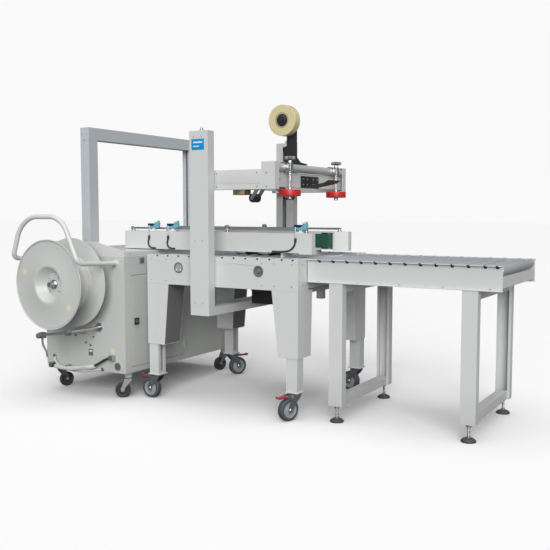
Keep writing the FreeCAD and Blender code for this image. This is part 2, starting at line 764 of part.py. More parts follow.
def arch_top_beam():
    x0, x1 = arch_x
    z0 = arch_top - arch_leg
    beam = rect_tube(x0, x1, arch_y[0], arch_y[1], z0, arch_top, 9, "y")
    ends = [box(x0, x1, arch_y[0], arch_y[0] + 9, z0, arch_top),
            box(x0, x1, arch_y[1] - 9, arch_y[1], z0, arch_top)]
    beam = fuse([beam] + ends)
    return [beam.cut(box(-1203, -1189, arch_y[0] + arch_leg, arch_y[1] - arch_leg,
                         z0 - 1, z0 + 10))]


def strapping_head():
    """Inside the cabinet: sealing block under the strap slot, feed wheels, motor, control box."""
    block = box(-1240, -1155, 300, 420, 560, 700)
    feed = [rod_y(-1198, 280, 300, z, 34) for z in (600, 660)]
    post = box(-1225, -1170, 330, 390, cabinet_bottom + sheet, 560)
    motor = rod_y(-1198, 420, 580, 620, 60)
    control = rect_tube(-1440, -1340, 500, 800, 200, 520, 2, "y")
    foot = box(-1440, -1340, 520, 560, cabinet_bottom + sheet, 200)
    return [fuse([block, post, motor] + feed), fuse([control, foot])]


def reel_spindle():
    """Spindle and pivot stud fixed to the cabinet's near wall."""
    wall_y = cabinet_y[0]
    plate = rod_y(reel_x, wall_y - 10, wall_y, reel_z, 50)
    shaft = rod_y(reel_x, -322, wall_y, reel_z, spindle_radius)
    collar = rod_y(reel_x, reel_rear_y + 14.3, wall_y, reel_z, 20)
    stud_plate = rod_y(guide_pivot_x, wall_y - 6, wall_y, guide_pivot_z, 22)
    stud = rod_y(guide_pivot_x, -318, wall_y, guide_pivot_z, 8)
    return [fuse([plate, shaft, collar]), fuse([stud_plate, stud])]


def reel_flanges():
    """Reel body: rear flange and hub, front flange with a cone down to the hub plate."""
    front = tube_y(reel_x, reel_front_y - 2, reel_front_y + 2, reel_z, flange_radius, 85)
    bead = tube_y(reel_x, reel_front_y - 6, reel_front_y + 2, reel_z,
                  flange_radius, flange_radius - 5)
    cone_outer = Part.makeCone(87, 60, 46, Vector(reel_x, reel_front_y - 2, reel_z),
                               Vector(0, 1, 0))
    cone_inner = Part.makeCone(82, 56, 46, Vector(reel_x, reel_front_y - 2.01, reel_z),
                               Vector(0, 1, 0))
    cone = cone_outer.cut(cone_inner)
    hub_plate = rod_y(reel_x, reel_front_y + 40, reel_front_y + 46, reel_z, 60)
    drum = tube_y(reel_x, reel_front_y + 2, reel_rear_y - 2, reel_z, 104, 100)
    rear = tube_y(reel_x, reel_rear_y - 2, reel_rear_y + 2, reel_z, flange_radius + 4, 14)
    rear_hub = rod_y(reel_x, reel_rear_y + 2, reel_rear_y + 14, reel_z, 30)
    reel = fuse([front, bead, cone, hub_plate, drum, rear, rear_hub])
    return [reel.cut(rod_y(reel_x, -400, -50, reel_z, spindle_radius + bore_gap))]


def strap_coil():
    return [tube_y(reel_x, reel_front_y + 2, reel_rear_y - 2, reel_z, coil_radius, 104)]


def reel_nut():
    """Plain nut and washer that hold the reel on its spindle."""
    washer = tube_y(reel_x, reel_front_y + 33.6, reel_front_y + 39.7, reel_z,
                    22, spindle_radius)
    return washer


def guard_hoop():
    """Round bar hoop that arches over the reel and returns to the cabinet on both sides."""
    wall_y = cabinet_y[0]
    wall_z = 677.0
    points = [(-973, wall_y, wall_z), (-968, hoop_y, 688), (-1070, hoop_y, 906),
              (-1335, hoop_y, 906), (-1405, hoop_y, 705), (-1408, wall_y, wall_z)]
    bar = pipe(points, [34, 120, 150, 34], hoop_radius)
    washers = [rod_y(x, wall_y - 5, wall_y, wall_z, 16) for x in (-973, -1408)]
    hoop = fuse([bar] + washers)
    return [hoop.cut(box(cabinet_x[0], cabinet_x[1], wall_y, wall_y + 30, 600, 760))]


def guide_arm():
    """Strap guide arm below the reel: sleeve on its stud, bar, end block and hanging link."""
    x = guide_pivot_x
    z = guide_pivot_z
    sleeve = rod_y(x, -316, -292, z, 14)
    bar = profile_xz([(x, z - 6), (x, z + 6), (x - 172, z - 18), (x - 172, z - 30)], -309, -299)
    block = box(x - 188, x - 160, -318, -290, z - 40, z - 12)
    roller = rod_y(x - 174, -334, -318, z - 26, 13)
    link = pipe([(x - 176, -304, z - 36), (x - 172, -304, z - 74), (x - 148, -304, z - 104),
                 (x - 142, -304, z - 132)], [30, 30], 5)
    arm = fuse([sleeve, bar, block, roller, link])
    return [arm.cut(rod_y(x, -330, -280, z, 8 + bore_gap))]


def power_lead():
    """Mains lead from its gland along clips at the foot of the cabinet to the second gland."""
    points = [(-1008, -106, 206), (-1040, -110, 194), (-1076, -114, 172), (-1114, -118, 153),
              (-1158, -120, 145), (-1204, -120, 138), (-1252, -120, 130), (-1302, -119, 127),
              (-1352, -117, 128), (-1396, -112, 133)]
    return [cord("power lead", points, 6.0)]


def lead_glands():
    """Two glands, an inlet socket and clips on the cabinet's near wall."""
    wall_y = cabinet_y[0]
    right = fuse([box(-1008, -984, -118, wall_y, 195, 219), rod_x(-1008, -984, -106, 206, 12)])
    left = box(-1420, -1396, -124, wall_y, 121, 147)
    socket = rod_y(-969, wall_y - 6, wall_y, 164, 19)
    return [right, left, socket]


# ---------------------------------------------------------------- infeed roller table

def table_side_rails():
    """Channel side rails open to the outside, and folded end plates between them."""
    x0, x1 = table_x
    y0, y1 = table_y
    bottom = table_top - table_rail_height
    flange = 24.0
    axle_bottom = table_top - table_roller_radius * 2 - 3
    web_y = y0 + table_web_inset
    web = box(x0, x1, web_y, web_y + sheet, bottom, table_top)
    top = box(x0, x1, y0, y0 + flange, table_top - sheet, table_top)
    foot = box(x0, x1, y0, y0 + flange, bottom, bottom + sheet)
    rail = fuse([web, top, foot])
    for x in table_roller_xs:
        rail = rail.cut(box(x - 7, x + 7, y0 + 12, y0 + flange + 1,
                            table_top - sheet - 1, table_top + 1))
    middle = (y0 + y1) / 2
    other = rail.mirror(Vector(0, middle, 0), Vector(0, 1, 0))
    bars = []
    for x, turn in ((x0 + 1, 1), (x1 - 1, -1)):
        plate = sorted((x, x + turn * sheet))
        lip = sorted((x, x + turn * 26))
        bars.append(box(plate[0], plate[1], web_y + sheet, y1 - table_web_inset - sheet,
                        bottom + 12, axle_bottom))
        bars.append(box(lip[0], lip[1], web_y + sheet, y1 - table_web_inset - sheet,
                        bottom + 12, bottom + 15))
    return [fuse([rail, other] + bars)]


table_roller_xs = [table_roller_first + table_roller_pitch * step
                   for step in range(table_roller_count)] + [table_last_roller_x]


def table_rollers():
    rollers = []
    y0, y1 = table_y
    axle_z = table_top - table_roller_radius
    for x in table_roller_xs:
        web_y = y0 + table_web_inset + sheet
        other_y = y1 - table_web_inset - sheet
        rollers.append(hollow_roller(x, y0 + 26, y1 - 26, web_y, other_y, axle_z,
                                     table_roller_radius, 5))
    return rollers


def table_legs():
    """Two leg frames, each of two channel posts tied by a rail below and a cap above."""
    y0, y1 = table_y
    rail_bottom = table_top - table_rail_height
    bottom_rail = 40.0
    pieces = []
    for post_x in table_post_xs:
        for y, outside in ((y0 + sheet, 1), (y1 - sheet - post_depth, -1)):
            post = rect_tube(post_x, post_x + post_width, y, y + post_depth,
                             post_bottom, rail_bottom, 2.5, "z")
            open_y0 = y + post_depth - 3 if outside > 0 else y - 1
            post = post.cut(box(post_x + 12, post_x + post_width - 12, open_y0, open_y0 + 4,
                                post_bottom + bottom_rail, rail_bottom - 20))
            pad = box(post_x + 2, post_x + post_width - 2, y + 2, y + post_depth - 2,
                      post_bottom, post_bottom + 5)
            pieces += [post, pad]
        across_rail = rect_tube(post_x + 10, post_x + post_width - 10, y0 + sheet + post_depth,
                                y1 - sheet - post_depth, post_bottom, post_bottom + bottom_rail,
                                2.5, "y")
        pieces.append(across_rail)
        cap = rect_tube(post_x + 10, post_x + post_width - 10, y0 + sheet + post_depth,
                        y1 - sheet - post_depth, rail_bottom - bottom_rail, rail_bottom,
                        2.5, "y")
        pieces.append(cap)
    half = len(pieces) // 2
    return [fuse(pieces[:half]), fuse(pieces[half:])]


def table_feet():
    """Levelling feet: stem, lock nut and rubber disc."""
    y0, y1 = table_y
    feet = []
    for post_x in table_post_xs:
        for y in (y0 + sheet + post_depth / 2, y1 - sheet - post_depth / 2):
            x = post_x + post_width / 2
            disc = Part.makeCone(31, 24, 16, Vector(x, y, 0), Vector(0, 0, 1))
            stem = rod_z(x, y, 10, post_bottom, 6)
            nut = rod_z(x, y, post_bottom - 9, post_bottom, 11)
            feet.append(fuse([disc, stem, nut]))
    return feet


# ---------------------------------------------------------------- casters

small_caster_top = 102.0
cabinet_caster_stems = ((-1430.0, -25.0), (-955.0, -31.0), (-945.0, 795.0), (-1430.0, 795.0))


def caster(stem, heading, radius, top, pin_radius, pin_top, brake):
    """Swivel fork and wheel; heading is the trail direction in degrees about the stem."""
    size = radius / 50.0
    trail = 38.0 * size
    axle_z = radius
    half_inner = 19.0 * size
    crown_top = top - 0.3
    crown_bottom = crown_top - 8 * size
    plate = [(-23 * size, crown_bottom), (24 * size, crown_bottom),
             (trail + 13 * size, axle_z + 3 * size), (trail + 6 * size, axle_z - 11 * size),
             (trail - 6 * size, axle_z - 11 * size), (trail - 13 * size, axle_z + 3 * size)]
    legs = [profile_xz(plate, half_inner, half_inner + 3 * size),
            profile_xz(plate, -half_inner - 3 * size, -half_inner)]
    crown = rod_z(0, 0, crown_bottom, crown_top, 26 * size)
    pin = rod_z(0, 0, crown_top, pin_top, pin_radius)
    head = rod_z(0, 0, pin_top, pin_top + 2.5, pin_radius + 4)
    axle = rod_y(trail, -half_inner - 6 * size, half_inner + 6 * size, axle_z, 5 * size)
    parts = legs + [crown, pin, head, axle]
    if brake:
        pedal = [(18, crown_bottom + 3), (60, crown_bottom + 3), (100, 90), (97, 83),
                 (62, 99), (50, 106), (18, 106)]
        parts.append(profile_xz(pedal, -20, 20))
    fork = fuse(parts)
    tread = rod_y(trail, -15 * size, 15 * size, axle_z, radius)
    tread = tread.makeFillet(5 * size, [edge for edge in tread.Edges
                                        if edge.Curve.TypeId == "Part::GeomCircle"])
    hub = rod_y(trail, -18.4 * size, 18.4 * size, axle_z, 11 * size)
    wheel = fuse([tread, hub])
    wheel = wheel.cut(rod_y(trail, -30, 30, axle_z, 5 * size + bore_gap))
    for shape in (fork, wheel):
        shape.rotate(Vector(0, 0, 0), Vector(0, 0, 1), heading)
        shape.translate(Vector(stem[0], stem[1], 0))
    return fork, wheel


left_stem_x = left_leg_x + leg_tube / 2
right_stem_x = right_leg_x + leg_tube / 2
leg_stem_y = sheet + leg_tube / 2
sealer_casters = (
    ("near_left", (left_stem_x, leg_stem_y), 180, True),
    ("near_right", (right_stem_x, leg_stem_y), 250, True),
    ("far_left", (left_stem_x, bed_width - leg_stem_y), 62, True),
    ("far_right", (right_stem_x, bed_width - leg_stem_y), 170, False),
)
cabinet_casters = (
    ("near_left", cabinet_caster_stems[0], 72),
    ("near_right", cabinet_caster_stems[1], 215),
    ("far_right", cabinet_caster_stems[2], 250),
    ("far_left", cabinet_caster_stems[3], 285),
)


def write_casters():
    for name, stem, heading, brake in sealer_casters:
        fork, wheel = caster(stem, heading, 50.0, leg_tube_bottom - 5, big_pin_radius,
                             leg_tube_bottom + 0.4, brake)
        save("sealer_caster_fork_" + name, [fork])
        save("sealer_caster_wheel_" + name, [wheel])
    for name, stem, heading in cabinet_casters:
        fork, wheel = caster(stem, heading, 37.5, small_caster_top, 5.0, 119.5, False)
        save("cabinet_caster_fork_" + name, [fork])
        save("cabinet_caster_wheel_" + name, [wheel])


def write_all():
    near_panel = side_panel()
    save("sealer_side_panels", [near_panel, across(near_panel)])
    save("sealer_crossbars", crossbars())
    save("sealer_leg_covers", leg_covers())
    save("sealer_leg_tubes", leg_tubes())
    save("sealer_rollers", bed_rollers())
    save("lower_tape_head", lower_tape_head())
    save("masts", masts())
    save("mast_tie_beam", mast_tie_beam())
    save("lead_screw_near", lead_screw(screw_y))
    save("lead_screw_far", lead_screw(bed_width - screw_y))
    save("head_frame", head_frame())
    save("head_cross_tube", head_cross_tube())
    save("tape_head", tape_head_plates())
    save("tape_arm_front", [roller_arm(front_arm_pivot, front_roller_at, 16)])
    save("tape_arm_rear", [roller_arm(rear_arm_pivot, rear_roller_at, 22)])
    save("tape_roll", tape_roll())
    save("press_clamp_near", press_clamp(near_press_y))
    save("press_clamp_far", press_clamp(far_press_y))
    save("press_wheel_near", press_wheel(near_press_y))
    save("press_wheel_far", press_wheel(far_press_y))
    housing = belt_housing()
    save("belt_housing_near", [housing])
    save("belt_housing_far", [across(housing)])
    belt = side_belt()
    save("side_belt_near", [belt])
    save("side_belt_far", [across(belt)])
    drum = drive_drum()
    save("drive_drum_near", [drum])
    save("drive_drum_far", [across(drum)])
    save("sensors", sensors())
    save("sensor_cables", sensor_cables())
    save("cabinet_shell", cabinet_shell())
    save("bench_top", bench_top())
    save("cabinet_door", cabinet_door())
    save("arch_uprights", arch_uprights())
    save("arch_top_beam", arch_top_beam())
    save("strapping_head", strapping_head())
    save("reel_spindle", reel_spindle() + [reel_nut()] + lead_glands())
    save("reel_flanges", reel_flanges())
    save("strap_coil", strap_coil())
    save("guard_hoop", guard_hoop())
    save("guide_arm", guide_arm())
    save("power_lead", power_lead())
    save("table_side_rails", table_side_rails())
    save("table_rollers", table_rollers())
    save("table_legs", table_legs())
    save("table_feet", table_feet())
    write_casters()
    print("whole line", extent)


write_all()
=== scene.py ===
import bpy
import bmesh
import math
import numpy as np
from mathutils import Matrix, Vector


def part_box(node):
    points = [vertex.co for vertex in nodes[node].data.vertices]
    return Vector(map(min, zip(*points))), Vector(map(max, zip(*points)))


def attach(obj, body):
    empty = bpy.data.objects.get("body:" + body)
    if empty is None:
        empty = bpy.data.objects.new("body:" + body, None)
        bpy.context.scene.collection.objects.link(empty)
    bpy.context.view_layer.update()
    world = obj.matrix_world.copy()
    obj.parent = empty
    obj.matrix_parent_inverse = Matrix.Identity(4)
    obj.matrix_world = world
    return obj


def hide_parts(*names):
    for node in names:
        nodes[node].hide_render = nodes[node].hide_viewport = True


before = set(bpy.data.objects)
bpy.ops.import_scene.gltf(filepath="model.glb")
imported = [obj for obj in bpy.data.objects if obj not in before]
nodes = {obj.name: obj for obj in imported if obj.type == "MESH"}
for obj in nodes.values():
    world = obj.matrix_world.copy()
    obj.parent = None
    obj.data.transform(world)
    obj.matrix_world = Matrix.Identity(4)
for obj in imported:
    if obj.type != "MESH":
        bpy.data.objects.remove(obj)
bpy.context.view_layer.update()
print("frame loaded,", len(nodes), "nodes")

# The drawing's zero is the sealer's near infeed corner on the floor; pieces are drawn in
# millimetres from there and brought into the frame when their mesh is made.
bedLow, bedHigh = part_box("sealer_side_panels")
drawingZero = np.array([bedHigh[0], bedLow[1], 0.0])
bedWidth = (bedHigh[1] - bedLow[1]) * 1000
rootBody = "line_frame"


# shapes: every shape is a pair (points, quads) worked out on a grid

def gridShape(points, closed=True):
    # points has rows x columns x 3; each cell of the grid is one quad, and the last column
    # joins the first when closed
    rows, cols = points.shape[:2]
    index = np.arange(rows * cols).reshape(rows, cols)
    nextCol = np.roll(index, -1, axis=1)
    if not closed:
        index, nextCol = index[:, :-1], nextCol[:, :-1]
    quads = np.stack([index[:-1], nextCol[:-1], nextCol[1:], index[1:]], axis=-1)
    return points.reshape(-1, 3), quads.reshape(-1, 4)


def axisFrame(axis):
    # the axis, given by name or as a vector, and two unit vectors square to it
    if isinstance(axis, str):
        axis = np.eye(3)["xyz".index(axis)]
    axis = np.array(axis, float) / np.linalg.norm(axis)
    helper = np.array([0, 0, 1.0]) if abs(axis[2]) < 0.9 else np.array([1.0, 0, 0])
    first = np.cross(helper, axis)
    first /= np.linalg.norm(first)
    return axis, first, np.cross(axis, first)


def lathe(profile, centre, axis, segments=32):
    # centre + along*axis + radius*(cos u, sin u): the profile's (radius, along) pairs turned
    # once round the axis
    axis, first, second = axisFrame(axis)
    profile = np.array(profile, float)
    angle = np.linspace(0, 2 * np.pi, segments, endpoint=False)
    ring = np.cos(angle)[:, None] * first + np.sin(angle)[:, None] * second
    points = (np.array(centre, float) + profile[:, 1, None, None] * axis
              + profile[:, 0, None, None] * ring)
    return gridShape(points)


def rodLine(radius, low, high):
    # a plain rod's outline, from its axis out and back
    return [(0, low), (radius, low), (radius, high), (0, high)]


def sleeveLine(inner, outer, low, high):
    # a plain sleeve's outline, once round its wall
    return [(inner, low), (outer, low), (outer, high), (inner, high), (inner, low)]


def roundedOutline(width, height, radius, steps=4):
    # quarter circles at the four corners of a width x height rectangle about zero
    radius = min(radius, width / 2 - 1e-3, height / 2 - 1e-3)
    turn = np.linspace(0, np.pi / 2, steps + 1)
    corners = []
    for k, (sx, sy) in enumerate(((1, 1), (-1, 1), (-1, -1), (1, -1))):
        a = turn + k * np.pi / 2
        corners.append(np.stack([sx * (width / 2 - radius) + radius * np.cos(a),
                                 sy * (height / 2 - radius) + radius * np.sin(a)], axis=1))
    return np.concatenate(corners)


def prism(outline, along, low, high, bevel=0.8):
    # a closed outline carried from low to high along one axis, its ends drawn in by the bevel
    # and closed at the outline's middle
    outline = np.array(outline, float)
    middle = outline.mean(axis=0)
    reach = np.abs(outline - middle).max()
    drawn = 1 - bevel / reach
    steps = [(0, low), (drawn, low), (1, low + bevel), (1, high - bevel), (drawn, high), (0, high)]
    rings = []
    for scale, place in steps:
        flat = middle + (outline - middle) * scale
        ring = np.insert(flat, "xyz".index(along), place, axis=1)
        rings.append(ring)
    return gridShape(np.array(rings))


def softBox(x0, x1, y0, y1, z0, z1, radius=2.0, along=None, bevel=None):
    # rounded rectangle carried along the box's longest side, or along the axis named
    lows, highs = np.array([x0, y0, z0], float), np.array([x1, y1, z1], float)
    size = highs - lows
    k = int(np.argmax(size)) if along is None else "xyz".index(along)
    others = [i for i in range(3) if i != k]
    outline = roundedOutline(size[others[0]], size[others[1]], radius)
    outline = outline + (lows + highs)[others] / 2
    if bevel is None:
        bevel = min(radius, size[k] / 3)
    return prism(outline, "xyz"[k], lows[k], highs[k], bevel)


def roundedRoute(points, radii, arcSteps=14):
    # straight runs joined by tangent arcs; an arc's reach along each run is its radius times
    # the tangent of half the turn
    points = np.array(points, float)
    route = [points[0]]
    for k, radius in enumerate(radii, start=1):
        back = points[k - 1] - points[k]
        ahead = points[k + 1] - points[k]
        back, ahead = back / np.linalg.norm(back), ahead / np.linalg.norm(ahead)
        halfTurn = (math.pi - math.acos(np.clip(back @ ahead, -1, 1))) / 2
        bisector = (back + ahead) / np.linalg.norm(back + ahead)
        centre = points[k] + bisector * radius / math.cos(halfTurn)
        start = points[k] + back * radius * math.tan(halfTurn) - centre
        end = points[k] + ahead * radius * math.tan(halfTurn) - centre
        t = np.linspace(0, 1, arcSteps)[:, None]
        arc = (np.sin((1 - t) * 2 * halfTurn) * start + np.sin(t * 2 * halfTurn) * end)
        route.extend(centre + arc / math.sin(2 * halfTurn))
    route.append(points[-1])
    return np.array(route)


def smoothRoute(points, steps=8):
    # Catmull-Rom curve through the points
    p = np.array(points, float)
    p = np.concatenate([[2 * p[0] - p[1]], p, [2 * p[-1] - p[-2]]])
    t = np.linspace(0, 1, steps, endpoint=False)[:, None]
    spans = []
    for a, b, c, d in zip(p[:-3], p[1:-2], p[2:-1], p[3:]):
        spans.append(0.5 * (2 * b + (c - a) * t + (2 * a - 5 * b + 4 * c - d) * t ** 2
                            + (3 * b - a - 3 * c + d) * t ** 3))
    return np.concatenate(spans + [p[-2:-1]])


def tubeAlong(route, radius, segments=16, ripple=None):
    # circles set square to the route, their first direction carried on from ring to ring;
    # ripple (depth, count) makes the radius rise and fall along the way
    route = np.array(route, float)
    tangent = np.gradient(route, axis=0)
    tangent /= np.linalg.norm(tangent, axis=1)[:, None]
    first = axisFrame(tangent[0])[1]
    firsts = []
    for direction in tangent:
        first = first - direction * (first @ direction)
        first = first / np.linalg.norm(first)
        firsts.append(first)
    firsts = np.array(firsts)
    seconds = np.cross(tangent, firsts)
    angle = np.linspace(0, 2 * np.pi, segments, endpoint=False)
    radii = np.full(len(route), float(radius))
    if ripple:
        radii = radii + ripple[0] * np.cos(np.linspace(0, 2 * np.pi * ripple[1], len(route)))
    rings = (route[:, None] + radii[:, None, None] * (
        np.cos(angle)[None, :, None] * firsts[:, None]
        + np.sin(angle)[None, :, None] * seconds[:, None]))
    capA = np.repeat(route[:1, None], segments, axis=1)
    capB = np.repeat(route[-1:, None], segments, axis=1)
    return gridShape(np.concatenate([capA, rings, capB]))


def moved(shape, offset=(0, 0, 0), turnZ=0.0):
    # turned about the upright axis through zero, then shifted
    points, quads = shape
    c, s = math.cos(math.radians(turnZ)), math.sin(math.radians(turnZ))
    matrix = np.array([[c, -s, 0], [s, c, 0], [0, 0, 1]])
    return points @ matrix.T + np.array(offset, float), quads


def across(shape):
    # the same shape on the other side of the bed's centre plane
    points, quads = shape
    flipped = points * np.array([1, -1, 1]) + np.array([0, bedWidth, 0])
    return flipped, quads[:, ::-1]


def acrossAll(parts):
    return [(across(shape), material) for shape, material in parts]


def makePiece(name, parts, body, replaces=(), sharp=32):
    # joins the shapes into one mesh, one material each, merges seams and poles and turns
    # every shell's faces outwards
    points, quads, looks, order = [], [], [], []
    count = 0
    for (shapePoints, shapeQuads), material in parts:
        if material not in order:
            order.append(material)
        points.append(shapePoints)
        quads.append(shapeQuads + count)
        looks.append(np.full(len(shapeQuads), order.index(material)))
        count += len(shapePoints)
    places = np.concatenate(points) / 1000 + drawingZero
    mesh = bpy.data.meshes.new(name)
    mesh.from_pydata(places.tolist(), [], np.concatenate(quads).tolist())
    mesh.polygons.foreach_set("material_index", np.concatenate(looks).astype(np.int32))
    for material in order:
        mesh.materials.append(finishes[material])
    work = bmesh.new()
    work.from_mesh(mesh)
    bmesh.ops.remove_doubles(work, verts=work.verts, dist=2e-6)
    bmesh.ops.dissolve_degenerate(work, edges=work.edges, dist=1e-6)
    bmesh.ops.recalc_face_normals(work, faces=work.faces)
    work.to_mesh(mesh)
    work.free()
    mesh.polygons.foreach_set("use_smooth", np.ones(len(mesh.polygons), bool))
    mesh.set_sharp_from_angle(angle=math.radians(sharp))
    piece = bpy.data.objects.new(name, mesh)
    bpy.context.scene.collection.objects.link(piece)
    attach(piece, body)
    if replaces:
        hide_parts(*replaces)
    return piece


# shader node groups, built once

def newGroup(name, inputs, outputs):
    group = bpy.data.node_groups.new(name, "ShaderNodeTree")
    for label, kind, value in inputs:
        socket = group.interface.new_socket(label, in_out="INPUT", socket_type=kind)
        socket.default_value = value
    for label, kind in outputs:
        group.interface.new_socket(label, in_out="OUTPUT", socket_type=kind)
    start = group.nodes.new("NodeGroupInput")
    end = group.nodes.new("NodeGroupOutput")
    return group, start, end


def mathNode(tree, operation, first, second=None, third=None):
    node = tree.nodes.new("ShaderNodeMath")
    node.operation = operation
    for k, value in enumerate((first, second, third)):
        if value is None:
            continue
        if isinstance(value, (int, float)):
            node.inputs[k].default_value = value
        else:
            tree.links.new(value, node.inputs[k])
    return node.outputs[0]


def noiseNode(tree, vector, scale, detail=3.0, rough=0.55):
    node = tree.nodes.new("ShaderNodeTexNoise")
    tree.links.new(vector, node.inputs["Vector"])
    if isinstance(scale, (int, float)):
        node.inputs["Scale"].default_value = scale
    else:
        tree.links.new(scale, node.inputs["Scale"])
    node.inputs["Detail"].default_value = detail
    node.inputs["Roughness"].default_value = rough
    return node.outputs["Fac"]


def stretchedPlace(group, start):
    place = group.nodes.new("ShaderNodeTexCoord")
    scaled = group.nodes.new("ShaderNodeVectorMath")
    scaled.operation = "MULTIPLY"
    group.links.new(place.outputs["Object"], scaled.inputs[0])
    group.links.new(start.outputs["Stretch"], scaled.inputs[1])
    return place, scaled


def makeGrainGroup():
    # fine grain for relief and a slow blotch for tone, both from object coordinates
    group, start, end = newGroup(
        "surfaceGrain",
        [("Grain scale", "NodeSocketFloat", 900.0), ("Blotch scale", "NodeSocketFloat", 5.0),
         ("Stretch", "NodeSocketVector", (1, 1, 1))],
        [("Grain", "NodeSocketFloat"), ("Blotch", "NodeSocketFloat")])
    place, scaled = stretchedPlace(group, start)
    grain = noiseNode(group, scaled.outputs[0], start.outputs["Grain scale"], 2.0)
    blotch = noiseNode(group, place.outputs["Object"], start.outputs["Blotch scale"], 4.0)
    group.links.new(grain, end.inputs["Grain"])
    group.links.new(blotch, end.inputs["Blotch"])
    return group


def makeDustGroup():
    # dust settles on faces that look up, and grime gathers towards the floor
    group, start, end = newGroup(
        "dustAndGrime",
        [("Dust", "NodeSocketFloat", 0.3), ("Grime", "NodeSocketFloat", 0.3),
         ("Grime height", "NodeSocketFloat", 0.25)],
        [("Dust mask", "NodeSocketFloat"), ("Grime mask", "NodeSocketFloat")])
    place = group.nodes.new("ShaderNodeTexCoord")
    split = group.nodes.new("ShaderNodeSeparateXYZ")
    group.links.new(place.outputs["Object"], split.inputs[0])
    facing = group.nodes.new("ShaderNodeNewGeometry")
    up = group.nodes.new("ShaderNodeSeparateXYZ")
    group.links.new(facing.outputs["True Normal"], up.inputs[0])
    patch = noiseNode(group, place.outputs["Object"], 14.0, 5.0, 0.6)
    speck = noiseNode(group, place.outputs["Object"], 160.0, 2.0, 0.6)
    upward = mathNode(group, "MAXIMUM", up.outputs["Z"], 0.0)
    soft = mathNode(group, "MULTIPLY", upward, patch)
    dust = mathNode(group, "MULTIPLY", soft, start.outputs["Dust"])
    reach = mathNode(group, "DIVIDE", split.outputs["Z"], start.outputs["Grime height"])
    low = mathNode(group, "SUBTRACT", 1.0, reach)
    low = mathNode(group, "MAXIMUM", low, 0.0)
    mottled = mathNode(group, "MULTIPLY", low, speck)
    grime = mathNode(group, "MULTIPLY", mottled, start.outputs["Grime"])
    group.links.new(dust, end.inputs["Dust mask"])
    group.links.new(grime, end.inputs["Grime mask"])
    return group


def makeScuffGroup():
    # thin worn streaks: a stretched noise cut to its highest values
    group, start, end = newGroup(
        "scuffs",
        [("Stretch", "NodeSocketVector", (9, 9, 60)), ("Amount", "NodeSocketFloat", 0.5)],
        [("Scuff mask", "NodeSocketFloat")])
    place, scaled = stretchedPlace(group, start)
    streak = noiseNode(group, scaled.outputs[0], 2.0, 6.0, 0.65)
    ramp = group.nodes.new("ShaderNodeMapRange")
    ramp.inputs["From Min"].default_value = 0.66
    ramp.inputs["From Max"].default_value = 0.74
    group.links.new(streak, ramp.inputs["Value"])
    mask = mathNode(group, "MULTIPLY", ramp.outputs[0], start.outputs["Amount"])
    group.links.new(mask, end.inputs["Scuff mask"])
    return group


grainGroup = makeGrainGroup()
dustGroup = makeDustGroup()
scuffGroup = makeScuffGroup()


def groupNode(tree, group, values):
    node = tree.nodes.new("ShaderNodeGroup")
    node.node_tree = group
    for label, value in values.items():
        node.inputs[label].default_value = value
    return node


def mixColours(tree, factor, first, second):
    node = tree.nodes.new("ShaderNodeMix")
    node.data_type = "RGBA"
    tree.links.new(factor, node.inputs["Factor"])
    for socket, value in ((node.inputs["A"], first), (node.inputs["B"], second)):
        if isinstance(value, tuple):
            socket.default_value = (*value, 1.0)
        else:
            tree.links.new(value, socket)
    return node.outputs["Result"]


def finishMaterial(name, look):
    # one recipe for every finish: tone from the blotch, dust above, grime below, scuffs,
    # and a bump from the grain
    material = bpy.data.materials.new(name)
    material.use_nodes = True
    tree = material.node_tree
    shader = tree.nodes["Principled BSDF"]
    colour = look["colour"]
    darker = tuple(c * look.get("blotchDark", 0.93) for c in colour)
    grain = groupNode(tree, grainGroup, {
        "Grain scale": look.get("grainScale", 900.0),
        "Blotch scale": look.get("blotchScale", 6.0),
        "Stretch": look.get("stretch", (1, 1, 1))})
    dust = groupNode(tree, dustGroup, {
        "Dust": look.get("dust", 0.25), "Grime": look.get("grime", 0.5),
        "Grime height": look.get("grimeHeight", 0.22)})
    scuff = groupNode(tree, scuffGroup, {
        "Stretch": look.get("scuffStretch", (9, 9, 60)), "Amount": look.get("scuff", 0.25)})
    tone = mixColours(tree, grain.outputs["Blotch"], colour, darker)
    if "pattern" in look:
        tone = look["pattern"](tree, tone, darker)
    tone = mixColours(tree, dust.outputs["Dust mask"], tone, (0.72, 0.71, 0.68))
    tone = mixColours(tree, dust.outputs["Grime mask"], tone, (0.12, 0.11, 0.10))
    worn = look.get("wornColour", tuple(min(1.0, c * 1.12) for c in colour))
    tone = mixColours(tree, scuff.outputs["Scuff mask"], tone, worn)
    tree.links.new(tone, shader.inputs["Base Color"])
    rough = look["rough"]
    spread = look.get("roughSpread", 0.12)
    roughness = mathNode(tree, "MULTIPLY_ADD", grain.outputs["Blotch"], spread, rough - spread / 2)
    roughness = mathNode(tree, "ADD", roughness, mathNode(
        tree, "MULTIPLY", dust.outputs["Dust mask"], 0.25))
    tree.links.new(roughness, shader.inputs["Roughness"])
    shader.inputs["Metallic"].default_value = look.get("metal", 0.0)
    shader.inputs["Coat Weight"].default_value = look.get("coat", 0.0)
    shader.inputs["Coat Roughness"].default_value = look.get("coatRough", 0.25)
    shader.inputs["IOR"].default_value = look.get("ior", 1.5)
    bump = tree.nodes.new("ShaderNodeBump")
    bump.inputs["Strength"].default_value = look.get("bump", 0.25)
    bump.inputs["Distance"].default_value = look.get("bumpDistance", 0.0004)
    height = grain.outputs["Grain"]
    if "relief" in look:
        height = mathNode(tree, "ADD", height, look["relief"](tree))
    tree.links.new(height, bump.inputs["Height"])
    tree.links.new(bump.outputs["Normal"], shader.inputs["Normal"])
    return material


